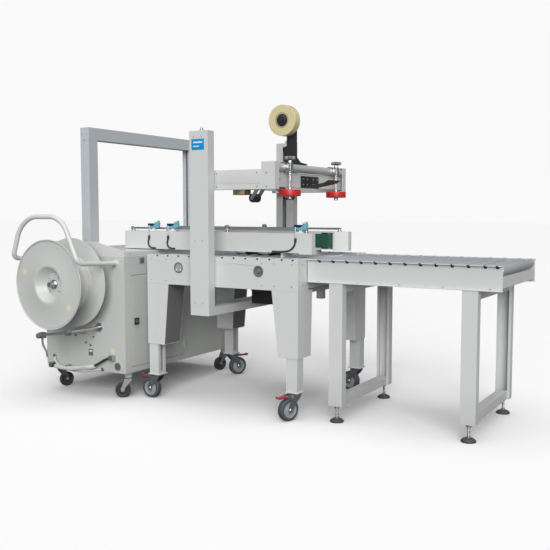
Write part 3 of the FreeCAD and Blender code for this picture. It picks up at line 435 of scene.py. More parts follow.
def radiusFrom(tree, centre, square="xz"):
    # distance of a surface point from an axis through the centre, in the frame's metres
    place = tree.nodes.new("ShaderNodeTexCoord")
    mapping = tree.nodes.new("ShaderNodeMapping")
    mapping.vector_type = "POINT"
    mapping.inputs["Location"].default_value = tuple(-c for c in centre)
    tree.links.new(place.outputs["Object"], mapping.inputs["Vector"])
    split = tree.nodes.new("ShaderNodeSeparateXYZ")
    tree.links.new(mapping.outputs[0], split.inputs[0])
    first, second = split.outputs[square[0].upper()], split.outputs[square[1].upper()]
    total = mathNode(tree, "ADD", mathNode(tree, "MULTIPLY", first, first),
                     mathNode(tree, "MULTIPLY", second, second))
    return mathNode(tree, "SQRT", total), split


def windingRings(centre, pitch, strength):
    # layers of wound material seen on its side: a sine of the radius, in steps of the pitch
    def pattern(tree, tone, darker):
        radius, split = radiusFrom(tree, centre)
        wave = mathNode(tree, "SINE", mathNode(tree, "MULTIPLY", radius, 2 * math.pi / pitch))
        jitter = noiseNode(tree, combineLine(tree, radius), 900.0, 2.0)
        ring = mathNode(tree, "MULTIPLY", mathNode(tree, "ADD", wave, jitter), strength)
        ring = mathNode(tree, "MAXIMUM", mathNode(tree, "MINIMUM", ring, 1.0), 0.0)
        deep = tuple(c * 0.7 for c in darker)
        return mixColours(tree, ring, tone, deep)
    return pattern


def combineLine(tree, value):
    node = tree.nodes.new("ShaderNodeCombineXYZ")
    tree.links.new(value, node.inputs[0])
    return node.outputs[0]


def weaveRelief(pitch, depth):
    # two crossed sines along the belt and across it
    def relief(tree):
        place = tree.nodes.new("ShaderNodeTexCoord")
        split = tree.nodes.new("ShaderNodeSeparateXYZ")
        tree.links.new(place.outputs["Object"], split.inputs[0])
        run = mathNode(tree, "SINE", mathNode(tree, "MULTIPLY", split.outputs["X"],
                                              2 * math.pi / pitch))
        rise = mathNode(tree, "SINE", mathNode(tree, "MULTIPLY", split.outputs["Z"],
                                               2 * math.pi / pitch))
        return mathNode(tree, "MULTIPLY", mathNode(tree, "MULTIPLY", run, rise), depth)
    return relief


rollCentre = tuple((np.array([-278, 359, 1372]) / 1000 + drawingZero).tolist())
coilCentre = tuple((np.array([-1192, -250, 579]) / 1000 + drawingZero).tolist())

paints = {
    "warmWhitePaint": dict(colour=(0.625, 0.64, 0.63), rough=0.42, coat=0.15, bump=0.16,
                           scuff=0.10, dust=0.12),
    "cabinetPaint": dict(colour=(0.545, 0.56, 0.54), rough=0.44, coat=0.15, bump=0.18,
                         scuff=0.12, dust=0.12),
    "archPaint": dict(colour=(0.50, 0.535, 0.56), rough=0.36, coat=0.2, bump=0.12, scuff=0.12),
    "reelPaint": dict(colour=(0.535, 0.55, 0.535), rough=0.4, coat=0.15, bump=0.14, scuff=0.1,
                      dust=0.1),
    "tubePaint": dict(colour=(0.53, 0.55, 0.56), rough=0.3, metal=0.25, coat=0.1, bump=0.1,
                      scuff=0.15),
    "blackPaint": dict(colour=(0.022, 0.023, 0.026), rough=0.45, bump=0.25, dust=0.1,
                       wornColour=(0.12, 0.12, 0.12)),
    # shadedPaint is painted shade: a dark tone that stands in for the shaded inside of the leg
    # covers
    "shadedPaint": dict(colour=(0.15, 0.155, 0.15), rough=0.6, bump=0.15, dust=0.1),
    "darkSteel": dict(colour=(0.10, 0.105, 0.10), rough=0.5, metal=0.6, bump=0.2),
}
metals = {
    "rollerSteel": dict(colour=(0.62, 0.62, 0.69), rough=0.36, metal=0.55, grainScale=60.0,
                        stretch=(30, 0.6, 30), bump=0.1, scuff=0.35, dust=0.1,
                        scuffStretch=(20, 2, 20), wornColour=(0.75, 0.75, 0.8)),
    "zincSteel": dict(colour=(0.58, 0.60, 0.62), rough=0.32, metal=1.0, grainScale=300.0,
                      bump=0.08, blotchScale=60.0, blotchDark=0.8, dust=0.1),
    "chromeSteel": dict(colour=(0.74, 0.75, 0.76), rough=0.24, metal=0.9, grainScale=500.0,
                        bump=0.03, dust=0.05, roughSpread=0.06),
    "castGrey": dict(colour=(0.20, 0.205, 0.21), rough=0.6, metal=0.4, bump=0.4,
                     grainScale=350.0),
}
plastics = {
    "blackRubber": dict(colour=(0.020, 0.020, 0.021), rough=0.62, bump=0.3, grainScale=700.0,
                        dust=0.15, grime=0.2),
    "greyTyre": dict(colour=(0.052, 0.07, 0.095), rough=0.6, bump=0.3, grainScale=600.0,
                     dust=0.15),
    "wheelGrey": dict(colour=(0.34, 0.37, 0.39), rough=0.42, bump=0.12, dust=0.15),
    "redRubber": dict(colour=(0.52, 0.018, 0.016), rough=0.42, coat=0.2, bump=0.15,
                      grainScale=500.0, dust=0.08, wornColour=(0.62, 0.10, 0.08)),
    "pedalRed": dict(colour=(0.42, 0.028, 0.06), rough=0.38, coat=0.2, bump=0.1, dust=0.1),
    "greenBelt": dict(colour=(0.012, 0.075, 0.044), rough=0.7, bump=0.55, bumpDistance=0.0006,
                      relief=weaveRelief(0.004, 0.6), grainScale=500.0, dust=0.06),
    "tapeFilm": dict(colour=(0.70, 0.63, 0.36), rough=0.22, coat=0.5, bump=0.08,
                     pattern=windingRings(rollCentre, 0.0026, 0.28), dust=0.03),
    "strapPlastic": dict(colour=(0.72, 0.725, 0.70), rough=0.4, coat=0.1, bump=0.2,
                         grainScale=400.0, pattern=windingRings(coilCentre, 0.004, 0.12)),
    "sensorTeal": dict(colour=(0.16, 0.42, 0.52), rough=0.3, coat=0.3, bump=0.08, dust=0.05),
    "sensorNavy": dict(colour=(0.006, 0.018, 0.06), rough=0.3, coat=0.3, bump=0.08, dust=0.05),
    "labelBlue": dict(colour=(0.0, 0.27, 0.66), rough=0.35, coat=0.3, bump=0.05, scuff=0.05),
    "labelWhite": dict(colour=(0.80, 0.81, 0.81), rough=0.4, bump=0.05),
    "labelYellow": dict(colour=(0.70, 0.66, 0.40), rough=0.4, bump=0.05),
    "tanPad": dict(colour=(0.42, 0.33, 0.20), rough=0.55, bump=0.3, grainScale=300.0),
    "sleeveWhite": dict(colour=(0.62, 0.625, 0.60), rough=0.5, bump=0.2, dust=0.2),
}
finishes = {name: finishMaterial(name, look)
            for name, look in {**paints, **metals, **plastics}.items()}
print("materials made,", len(finishes))

# the CAD nodes that stay, and the finish of each
nodeFinish = {
    "sealer_side_panels": "warmWhitePaint", "sealer_crossbars": "cabinetPaint",
    "sealer_leg_covers": "warmWhitePaint", "sealer_leg_tubes": "warmWhitePaint",
    "sealer_rollers": "rollerSteel", "lower_tape_head": "blackPaint", "masts": "warmWhitePaint",
    "mast_tie_beam": "warmWhitePaint", "cabinet_shell": "cabinetPaint",
    "bench_top": "warmWhitePaint", "arch_uprights": "archPaint", "arch_top_beam": "archPaint",
    "strapping_head": "castGrey", "reel_spindle": "zincSteel", "guard_hoop": "warmWhitePaint",
    "power_lead": "blackRubber", "table_side_rails": "warmWhitePaint",
    "table_rollers": "rollerSteel", "table_legs": "warmWhitePaint", "table_feet": "blackRubber",
    "head_frame": "warmWhitePaint", "head_cross_tube": "tubePaint", "tape_head": "blackPaint",
    "tape_arm_front": "zincSteel", "tape_arm_rear": "zincSteel", "tape_roll": "tapeFilm",
    "press_clamp_near": "zincSteel", "press_clamp_far": "zincSteel",
    "press_wheel_near": "redRubber", "press_wheel_far": "redRubber",
    "belt_housing_near": "warmWhitePaint", "side_belt_near": "greenBelt",
    "sensors": "sensorTeal", "sensor_cables": "blackRubber",
    "belt_housing_far": "warmWhitePaint", "side_belt_far": "greenBelt",
    "drive_drum_near": "zincSteel", "drive_drum_far": "zincSteel",
    "lead_screw_near": "zincSteel", "lead_screw_far": "zincSteel",
    "reel_flanges": "warmWhitePaint", "strap_coil": "strapPlastic",
    "cabinet_door": "cabinetPaint", "guide_arm": "castGrey",
}
for name, node in nodes.items():
    finish = nodeFinish.get(name, "zincSteel")
    for materialSlot in node.material_slots:
        materialSlot.material = finishes[finish]
print("CAD nodes finished")


def addScrews(name, body, places, radius=3.2, height=2.2, finish="zincSteel"):
    # button heads with a hexagon socket; places are (x, y, z, (normal))
    profile = [(0, 0.45), (0.42, 0.45), (0.46, 1.0), (0.7, 0.92), (0.9, 0.65), (1.0, 0.25),
               (1.0, -0.1)]
    parts = []
    for x, y, z, normal in places:
        shape = lathe([(r * radius, h * height) for r, h in profile] + [(0, -0.1 * height)],
                      (x, y, z), normal, 12)
        parts.append((shape, finish))
    return makePiece(name, parts, body, sharp=25)


# rollers

def rollerShape(x, y0, y1, axle0, axle1, z, radius, axleRadius):
    # barrel with small rounded shoulders, a recessed end plug and the axle through it
    lip = 1.6
    plug = radius - 3.0
    side = [(0, axle0), (axleRadius, axle0), (axleRadius, y0 + 4), (plug, y0 + 4),
            (plug, y0 + 0.4), (radius - lip, y0), (radius - 0.4, y0 + 0.5), (radius, y0 + lip),
            (radius, y1 - lip), (radius - 0.4, y1 - 0.5), (radius - lip, y1), (plug, y1 - 0.4),
            (plug, y1 - 4), (axleRadius, y1 - 4), (axleRadius, axle1), (0, axle1)]
    return lathe(side, (x, 0, z), "y", 28)


bedRollers = dict(radius=20.0, pitch=64.0, firstX=-18.0, endX=-26.0, count=13, top=720.0, endY=24.0,
                  splitEndY=296.0, plateY=298.0, axle=6.0)
tableRollers = dict(radius=20.0, pitch=66.8, firstX=65.0, count=12, lastX=848.0, top=719.0,
                    lowY=95.0, highY=617.0, webLow=86.0, webHigh=626.0, axle=5.0)


def makeRollers():
    r = bedRollers
    parts = []
    for k in range(r["count"]):
        x = r["firstX"] - r["pitch"] * k if k else r["endX"]
        z = r["top"] - r["radius"]
        if -610 < x < -215:
            short = rollerShape(x, r["endY"], r["splitEndY"], 3, r["plateY"], z, r["radius"],
                                r["axle"])
            parts += [(short, "rollerSteel"), (across(short), "rollerSteel")]
        else:
            whole = rollerShape(x, r["endY"], bedWidth - r["endY"], 3, bedWidth - 3, z,
                                r["radius"], r["axle"])
            parts.append((whole, "rollerSteel"))
    makePiece("bedRollers", parts, rootBody, ["sealer_rollers"])
    t = tableRollers
    xs = [t["firstX"] + t["pitch"] * k for k in range(t["count"])] + [t["lastX"]]
    parts = [(rollerShape(x, t["lowY"], t["highY"], t["webLow"], t["webHigh"],
                          t["top"] - t["radius"], t["radius"], t["axle"]),
              "rollerSteel") for x in xs]
    makePiece("tableRollers", parts, rootBody, ["table_rollers"])
    # dark clips that hold the axles, and black patches painted as the shade in the slot mouths they
    # drop into
    clipsAndSlotShade = []
    for k in range(r["count"]):
        x = r["firstX"] - r["pitch"] * k if k else r["endX"]
        clip = softBox(x - 7.4, x + 7.4, 11, 22.8, 707, 719.4, 1.2, "y", 0.5)
        # a black patch just proud of the side panel's face: painted shade in the roller's slot
        # mouth
        slotMouthShade = softBox(x - 5, x + 5, -0.5, 1.0, 713.5, 720.3, 1.5, "y", 0.3)
        for part in (clip, slotMouthShade):
            clipsAndSlotShade += [(part, "blackRubber"), (across(part), "blackRubber")]
    for x in xs:
        # black patches on the table rails' outer faces: painted shade in the roller slots
        for y0, y1 in ((68.4, 71.0), (641.0, 643.6)):
            clipsAndSlotShade.append((softBox(x - 4.5, x + 4.5, y0, y1, 715.5, 719.3, 0.8, "y", 0.3),
                          "blackRubber"))
        for y0, y1 in ((81.8, 93.6), (618.4, 630.2)):
            clipsAndSlotShade.append((softBox(x - 6.4, x + 6.4, y0, y1, 706, 718.4, 1.2, "y", 0.5),
                          "blackRubber"))
    makePiece("axleClipsAndSlotShade", clipsAndSlotShade, rootBody)


makeRollers()
print("rollers made")


# casters: each is drawn with its trail along +X and its stem at zero, then turned and placed

sealerStems = {"near_left": (-817.0, 31.0, 180, True), "near_right": (-32.0, 31.0, 250, True),
               "far_left": (-817.0, 687.0, 62, True), "far_right": (-32.0, 687.0, 170, False)}
cabinetStems = {"near_left": (-1430.0, -25.0, 72), "near_right": (-955.0, -31.0, 215),
                "far_right": (-945.0, 795.0, 250), "far_left": (-1430.0, 795.0, 285)}


def casterWheel(size, tread, centre):
    radius = 50 * size
    trail = 38 * size
    half = 15 * size
    fillet = 5 * size
    arc = np.linspace(0, np.pi / 2, 6)
    shoulder = [(radius - fillet + fillet * math.sin(a), -half + fillet - fillet * math.cos(a))
                for a in arc]
    web = 36 * size
    side = ([(5.2 * size, -18.2 * size), (11 * size, -18.2 * size), (11.5 * size, -12 * size),
             (20 * size, -8 * size), (web - 3 * size, -8 * size), (web, -half + 0.6)]
            + [(web + 1.5 * size, -half)] + shoulder)
    profile = side + [(r, -a) for r, a in reversed(side)]
    rim = [p for p in profile if p[0] >= web]
    inner = side[:6]
    hubProfile = inner + [(r, -a) for r, a in reversed(inner)] + [inner[0]]
    rimProfile = rim + [rim[0]]
    place = (trail, 0, radius)
    return [(lathe(rimProfile, place, "y", 48), tread),
            (lathe(hubProfile, place, "y", 40), centre)]


def casterFork(size, top, pinTop, brake):
    zinc = "zincSteel"
    trail, axleZ, half = 38 * size, 50 * size, 19 * size
    crownTop = top - 0.4
    plate = 3 * size
    t = np.linspace(0, 1, 9)
    # each side plate: front and back edges ease from the crown to the axle by a cosine
    ease = (1 - np.cos(np.pi * t)) / 2
    front = np.stack([25 * size + (trail + 13 * size - 25 * size) * ease,
                      crownTop - 3 - (crownTop - 3 - axleZ) * t], axis=1)
    arc = np.linspace(0, -np.pi, 9)
    foot = np.stack([trail + 13 * size * np.cos(arc), axleZ + 11 * size * np.sin(arc)], axis=1)
    back = np.stack([trail - 13 * size + (-24 * size - trail + 13 * size) * ease,
                     axleZ + (crownTop - 3 - axleZ) * t], axis=1)
    outline = np.concatenate([front, foot[1:-1], back])
    parts = [(prism(outline, "y", side * half - (plate if side < 0 else 0),
                    side * half + (plate if side > 0 else 0), 0.5), zinc) for side in (-1, 1)]
    crown = [(0, crownTop - 8 * size), (24 * size, crownTop - 8 * size),
             (26 * size, crownTop - 6 * size), (26 * size, crownTop - 3 * size),
             (23 * size, crownTop - 1.6 * size), (21 * size, crownTop), (0, crownTop)]
    parts.append((lathe(crown, (0, 0, 0), "z", 40), zinc))
    bridge = softBox(-14 * size, 26 * size, -half - plate, half + plate, crownTop - 9 * size,
                     crownTop - 5 * size, 1.5 * size, "y")
    parts.append((bridge, zinc))
    pin = rodLine(5 * size, crownTop - 1, pinTop)
    parts.append((lathe(pin, (0, 0, 0), "z", 20), zinc))
    reach = half + 6 * size
    head, shank, headDepth = 8 * size, 5 * size, 5 * size
    bolt = [(0, -reach), (head, -reach), (head, -reach + headDepth), (shank, -reach + headDepth),
            (shank, reach - headDepth), (head, reach - headDepth), (head, reach), (0, reach)]
    parts.append((lathe(bolt, (trail, 0, axleZ), "y", 6), "chromeSteel"))
    if brake:
        # pedal: a slim tongue over the wheel with its end turned up, on two ears of the fork
        pedalOutline = [(44, 113), (66, 114), (84, 111), (96, 112), (101, 116), (104, 113),
                        (100, 106), (88, 103.5), (66, 106), (44, 106)]
        parts.append((prism(pedalOutline, "y", -12, 12, 2.0), "pedalRed"))
        for side in (-15.5, 12.5):
            ear = [(10, crownTop - 5), (54, crownTop - 6), (60, 112), (56, 105), (14, 106)]
            parts.append((prism(ear, "y", side, side + 3, 0.5), zinc))
        lever = [(58, 104), (78, 103), (80, 105.5), (58, 106.5)]
        parts.append((prism(lever, "y", -6, 6, 0.5), "blackRubber"))
    return parts


def makeCasters():
    for kind, stems, size, top, pinTop, tread, centre in (
            ("sealer", sealerStems, 1.0, 123.0, 128.0, "greyTyre", "wheelGrey"),
            ("cabinet", cabinetStems, 0.75, 102.0, 119.0, "blackRubber", "blackRubber")):
        for corner, stem in stems.items():
            brake = len(stem) > 3 and stem[3]
            place = (stem[0], stem[1], 0)
            fork = [(moved(shape, place, stem[2]), material)
                    for shape, material in casterFork(size, top, pinTop, brake)]
            wheel = [(moved(shape, place, stem[2]), material)
                     for shape, material in casterWheel(size, tread, centre)]
            makePiece(kind + "Fork_" + corner, fork, corner + "_" + kind + "_fork",
                      [kind + "_caster_fork_" + corner])
            makePiece(kind + "Wheel_" + corner, wheel, corner + "_" + kind + "_wheel",
                      [kind + "_caster_wheel_" + corner])


makeCasters()
print("casters made")


# strap reel

reelSizes = dict(x=-1192.0, z=579.0, frontY=-325.0, rearY=-172.0, flange=218.0, coil=140.0,
                 strapWidth=12.4)


def makeReel():
    s = reelSizes
    x, z, front, rear, edge = s["x"], s["z"], s["frontY"], s["rearY"], s["flange"]
    paint = "reelPaint"
    # front flange: rolled rim, flat annulus, shallow step, cone to the hub plate and back
    profile = [(edge - 6, front + 2), (edge - 1.5, front + 2), (edge, front + 0.5),
               (edge, front - 4.5), (edge - 1.5, front - 6), (edge - 4, front - 6),
               (edge - 5.5, front - 4.5), (edge - 6, front - 2.2), (104, front - 2),
               (102, front - 2.8), (93, front - 3.4), (87, front - 2.6), (82.5, front + 1),
               (58, front + 38), (55, front + 40), (12.3, front + 40),
               (12.3, front + 45), (60, front + 45), (64, front + 41), (90, front + 2),
               (edge - 6, front + 2)]
    parts = [(lathe(profile, (x, 0, z), "y", 96), paint)]
    # a thin dark grey ring just proud of the flange face near the rim: painted shade for a groove
    grooveShade = sleeveLine(edge - 9.4, edge - 7.2, front - 1.9, front - 2.5)
    parts.append((lathe(grooveShade, (x, 0, z), "y", 96), "wheelGrey"))
    drum = sleeveLine(100.5, 103.8, front + 2.2, rear - 2.2)
    parts.append((lathe(drum, (x, 0, z), "y", 64), paint))
    outer = edge + 4
    back = [(14, rear - 2), (outer - 3, rear - 2), (outer - 0.5, rear - 1), (outer, rear + 2),
            (outer - 1.5, rear + 3.5), (outer - 4, rear + 2), (30, rear + 2), (30, rear + 14),
            (12.3, rear + 14), (12.3, rear - 2), (14, rear - 2)]
    parts.append((lathe(back, (x, 0, z), "y", 96), paint))
    makePiece("reelBody", parts, "strap_reel", ["reel_flanges"], 28)
    hubBolts = [(x + 44 * math.cos(a), front + 40, z + 44 * math.sin(a), (0, -1, 0))
                for a in np.radians([45, 135, 225, 315])]
    addScrews("reelHubBolts", "strap_reel", hubBolts, 6.0, 4.5)
    # strap coil: each winding is a shallow crown one strap wide, its layers stepped a little
    windings = int(round((rear - front - 4) / s["strapWidth"]))
    y = np.linspace(front + 2.3, rear - 2.3, windings * 8 + 1)
    phase = (y - y[0]) / (y[-1] - y[0]) * windings
    step = 1.4 * np.sin(phase * 2.1) + 0.9 * np.abs(np.sin(np.pi * phase)) - 1.5
    surface = [(s["coil"] + d, a) for d, a in zip(step, y)]
    coil = ([(104.2, y[0])] + [(s["coil"] - 3, y[0])] + surface
            + [(s["coil"] - 3, y[-1]), (104.2, y[-1]), (104.2, y[0])])
    makePiece("strapCoil", [(lathe(coil, (x, 0, z), "y", 96), "strapPlastic")],
              "strap_reel", ["strap_coil"], 50)
    # blank stickers on the flange
    stickers = []
    for angle in (-38.0, 160.0):
        a = math.radians(angle)
        turn = np.linspace(-0.075, 0.075, 6)
        outline = []
        for r, sweep in ((182.0, turn), (158.0, turn[::-1])):
            outline += [(x + r * math.cos(a + b * 170 / r), z + r * math.sin(a + b * 170 / r))
                        for b in sweep]
        stickers.append((prism(outline, "y", front - 2.5, front - 1.9, 0.1),
                         "labelYellow"))
    makePiece("reelStickers", stickers, "strap_reel")
    washer = [(12.0, front + 33.7), (21, front + 33.7), (22, front + 34.5), (22, front + 39.6),
              (12.0, front + 39.6), (12.0, front + 33.7)]
    nut = [(0, front + 16), (10, front + 16), (17, front + 18), (17, front + 33.5),
           (0, front + 33.5)]
    makePiece("spindleNut", [(lathe(washer, (x, 0, z), "y", 32), "zincSteel"),
                             (lathe(nut, (x, 0, z), "y", 6), "zincSteel")],
              rootBody)


makeReel()
print("reel made")


# guard hoop

hoop = dict(wallRight=-973.0, wallLeft=-1408.0, wallY=-90.0, wallZ=677.0, y=-350.0,
            corners=((-968.0, 688.0), (-1070.0, 906.0), (-1335.0, 906.0), (-1405.0, 705.0)),
            bends=(34.0, 120.0, 150.0, 34.0), radius=11.5)


def makeHoop():
    h = hoop
    points = ([(h["wallRight"], h["wallY"], h["wallZ"])]
              + [(x, h["y"], z) for x, z in h["corners"]]
              + [(h["wallLeft"], h["wallY"], h["wallZ"])])
    route = roundedRoute(points, h["bends"], 24)
    parts = [(tubeAlong(route, h["radius"], 28), "warmWhitePaint")]
    for end in (points[0], points[-1]):
        cup = [(0, -5), (13, -5), (15.5, -4), (16, -2.5), (16, 0), (0, 0)]
        parts.append((lathe(cup, (end[0], h["wallY"], end[2]), "y", 36),
                      "warmWhitePaint"))
    makePiece("guardHoop", parts, rootBody, ["guard_hoop"])


makeHoop()
print("hoop made")


# lifting head: press wheels, clamps, tape roll, bolts

press = dict(rodX=-108.0, nearY=118.0, farY=585.0, tubeZ=1130.0, tubeX=-140.0)


def pressWheelShape(y):
    half, outer = 15, 50
    arc = np.linspace(0, np.pi / 2, 7)
    shoulder = [(outer - 5 + 5 * math.sin(a), half - 5 + 5 * math.cos(a)) for a in arc]
    face = [(6.1, half), (18, half), (19, half - 2), (38, half - 2), (39, half)]
    profile = face + shoulder + [(r, -h) for r, h in reversed(face + shoulder)] + [face[0]]
    return lathe([(r, h + 1015) for r, h in profile], (press["rodX"], y, 0), "z", 64)


def starKnob(x, y, low, high):
    # six lobes: the radius rises and falls with the cosine of six times the angle
    angle = np.linspace(0, 2 * np.pi, 72, endpoint=False)
    reach = 24.0 + 4.5 * np.cos(6 * angle)
    rings = []
    for scale, z in ((0, low), (0.8, low), (0.97, low + 3), (1, low + 6), (1, high - 5),
                     (0.93, high - 2), (0.8, high), (0.45, high + 0.8), (0, high + 0.8)):
        rings.append(np.stack([x + reach * scale * np.cos(angle),
                               y + reach * scale * np.sin(angle), np.full(72, z)], axis=1))
    return gridShape(np.array(rings))


def makePress(side, y):
    zinc = "zincSteel"
    x = press["rodX"]
    makePiece("pressWheel_" + side, [(pressWheelShape(y), "redRubber")],
              side + "_press_wheel", ["press_wheel_" + side])
    # saddle block: a rounded outline in the XZ plane with the tube's round seat below
    seat = np.radians(np.linspace(-63, 243, 30))
    seatPoints = [(press["tubeX"] + 19.1 * math.cos(a), press["tubeZ"] + 19.1 * math.sin(a))
                  for a in seat]
    ringOuter = [(press["tubeX"] + 25 * math.cos(a), press["tubeZ"] + 24 * math.sin(a))
                 for a in seat]
    rings = []
    for place in (y - 15.4, y - 14.8, y + 14.8, y + 15.4):
        inner = [(a, place, b) for a, b in seatPoints]
        outer = [(a, place, b) for a, b in reversed(ringOuter)]
        rings.append(inner + outer)
    rings = [rings[0]] + rings + [rings[-1]]
    count = len(rings[0])
    half = count // 2
    closing = np.array(rings, float)
    # the ends close by drawing the outer line onto the seat line
    closing[0, half:] = closing[0, :half][::-1]
    closing[-1, half:] = closing[-1, :half][::-1]
    parts = [(gridShape(closing), zinc)]
    parts.append((softBox(x - 13, x + 11, y - 12, y + 12, 1114, 1152, 3, "z"), zinc))
    stem = [(0, 986.5), (9, 986.5), (10, 988), (10, 999.5), (6, 999.6), (6, 1030.4), (10, 1030.6),
            (10, 1037), (6.05, 1038), (6.05, 1166), (0, 1166)]
    parts.append((lathe(stem, (x, y, 0), "z", 24), "chromeSteel"))
    parts.append((starKnob(x, y, 1163, 1179), "castGrey"))
    parts.append((lathe([(0, 1150), (10, 1150), (10, 1160), (7, 1163), (0, 1163)], (x, y, 0),
                        "z", 6), zinc))
    makePiece("pressClamp_" + side, parts, side + "_press",
              ["press_clamp_" + side])


def makeTapeRoll():
    y0, y1 = 334.5, 383.5
    x, z = -278.0, 1372.0
    film = [(38.2, y0), (74, y0), (75, y0 + 0.8), (75, y1 - 0.8), (74, y1), (38.2, y1), (38.2, y0)]
    core = sleeveLine(30, 38, y0 + 0.6, y1 - 0.6)
    hub = [(8.1, y0 - 4), (20, y0 - 4), (22, y0 - 2), (24, y0 + 3), (29.8, y0 + 3), (29.8, y1),
           (8.1, y1), (8.1, y0 - 4)]
    boss = [(0, y0 - 12), (7, y0 - 12), (8, y0 - 11), (8, y0), (0, y0)]
    seg = 72
    parts = [(lathe(film, (x, 0, z), "y", seg), "tapeFilm"),
             (lathe(core, (x, 0, z), "y", seg), "tanPad"),
             (lathe(hub, (x, 0, z), "y", seg), "blackPaint")]
    for a in np.radians([0, 60, 120, 180, 240, 300]):
        fin = softBox(22, 29.5, y0 + 1, y0 + 20, -2, 2, 0.8, "y")
        points, quads = fin
        c, s = math.cos(a), math.sin(a)
        turned = np.stack([points[:, 0] * c - points[:, 2] * s + x, points[:, 1],
                           points[:, 0] * s + points[:, 2] * c + z], axis=1)
        parts.append(((turned, quads), "blackPaint"))
    makePiece("tapeRoll", parts, "tape_reel", ["tape_roll"])
    makePiece("tapeAxleEnd", [(lathe(boss, (x, 0, z), "y", 24), "chromeSteel")],
              "lift_head")


def makeTapeArm(side, pivot, roller, radius):
    zinc = "zincSteel"
    along = np.array(roller) - np.array(pivot)
    length = np.linalg.norm(along)
    heading = math.atan2(along[1], along[0])
    # arm plate: two end circles joined by their common sides
    turn = np.linspace(-np.pi / 2, np.pi / 2, 9)
    far = [(length + 9 * math.cos(a), 9 * math.sin(a)) for a in turn]
    near = [(-11 * math.cos(a), -11 * math.sin(a)) for a in turn]
    outline = []
    for u, w in far + near:
        outline.append((pivot[0] + u * math.cos(heading) - w * math.sin(heading),
                        pivot[1] + u * math.sin(heading) + w * math.cos(heading)))
    parts = [(prism(outline, "y", y, y + 4, 0.5), zinc) for y in (327, 383)]
    sleeve = sleeveLine(6.1, 11, 331, 383)
    parts.append((lathe(sleeve, (pivot[0], 0, pivot[1]), "y", 24), zinc))
    barrel = [(5, 332), (radius - 1.5, 332), (radius, 333.5), (radius, 380.5), (radius - 1.5, 382),
              (5, 382), (5, 332)]
    parts.append((lathe(barrel, (roller[0], 0, roller[1]), "y", 40),
                  "blackRubber"))
    axle = rodLine(5, 327.2, 386.8)
    parts.append((lathe(axle, (roller[0], 0, roller[1]), "y", 16), "chromeSteel"))
    makePiece("tapeArm_" + side, parts, side + "_tape_arm", ["tape_arm_" + side])


for side, y in (("near", press["nearY"]), ("far", press["farY"])):
    makePress(side, y)
makeTapeRoll()
makeTapeArm("front", (-330.0, 1065.0), (-245.0, 1003.0), 16)
makeTapeArm("rear", (-400.0, 1065.0), (-447.0, 998.0), 22)
headScrews = [(-134, y, z, "x") for y in (292, 330, 391, 429) for z in (1058, 1084)]
headScrews += [(-140, y, 1076, "x") for y in (60, 80, 640, 660)]
headScrews += [(x, 0, z, (0, -1, 0)) for x in (-430, -210, -160) for z in (1044, 1106)]
addScrews("headScrews", "lift_head", headScrews, 4.2, 3.0)
armCover = [(softBox(-437, -191, -0.9, 0.4, 1056, 1119, 0.4, "x", 0.4), "warmWhitePaint")]
makePiece("armCover", armCover, "lift_head")
entryPad = [(prism([(-562, 1020), (-556, 1014.5), (-492, 1014.5), (-492, 1040), (-552, 1040),
                    (-562, 1034)], "y", 329, 389, 1.5), "tanPad")]
makePiece("entryPad", entryPad, "lift_head")
print("lifting head made")


# side belt units

unit = dict(outerY=150.0, top=831.0, railY=186.0, railZ=845.0, handleX=-500.0)


def unitParts():
    zinc = "zincSteel"
    y, z = unit["railY"], unit["railZ"]
    rail = [(0, -1101), (5.3, -1101), (5.3, -52.5), (4.5, -51.8), (0, -51.8)]
    parts = [(lathe(rail, (0, y, z), "x", 20), zinc)]
    arc = np.linspace(-np.pi / 2, np.pi / 2, 13)
    ball = [(9.4 * math.cos(a), 9.4 * math.sin(a)) for a in arc]
    parts.append((lathe(ball, (-1104, y, z), "x", 24), "castGrey"))
    for x in (-1095.0, unit["handleX"], -60.0):
        post = [(0, 831), (11, 831), (11, 834), (8, 836), (6.5, 839), (6.5, 843), (0, 843)]
        parts.append((lathe(post, (x, y, 0), "z", 24), zinc))
    handle = [(0, 848), (11.5, 848), (12.5, 851), (12, 860), (10, 863.5), (5, 865), (0, 865)]
    parts.append((lathe(handle, (unit["handleX"], y, 0), "z", 28), "castGrey"))
    return parts


makePiece("nearRail", unitParts(), "near_belt_unit")
makePiece("farRail", acrossAll(unitParts()), "far_belt_unit")
topScrews = [(x, 215, unit["top"], "z") for x in range(-1090, -100, 190)]
addScrews("nearUnitScrews", "near_belt_unit", topScrews, 3.4, 2.0)
addScrews("farUnitScrews", "far_belt_unit",
          [(x, bedWidth - y, z, normal) for x, y, z, normal in topScrews]
          + [(x, bedWidth - unit["outerY"], z, "y")
             for x in (-1090, -700, -300, -30) for z in (750, 820)], 3.4, 2.0)


sensorXs = (-943.0, -819.0, -79.0)


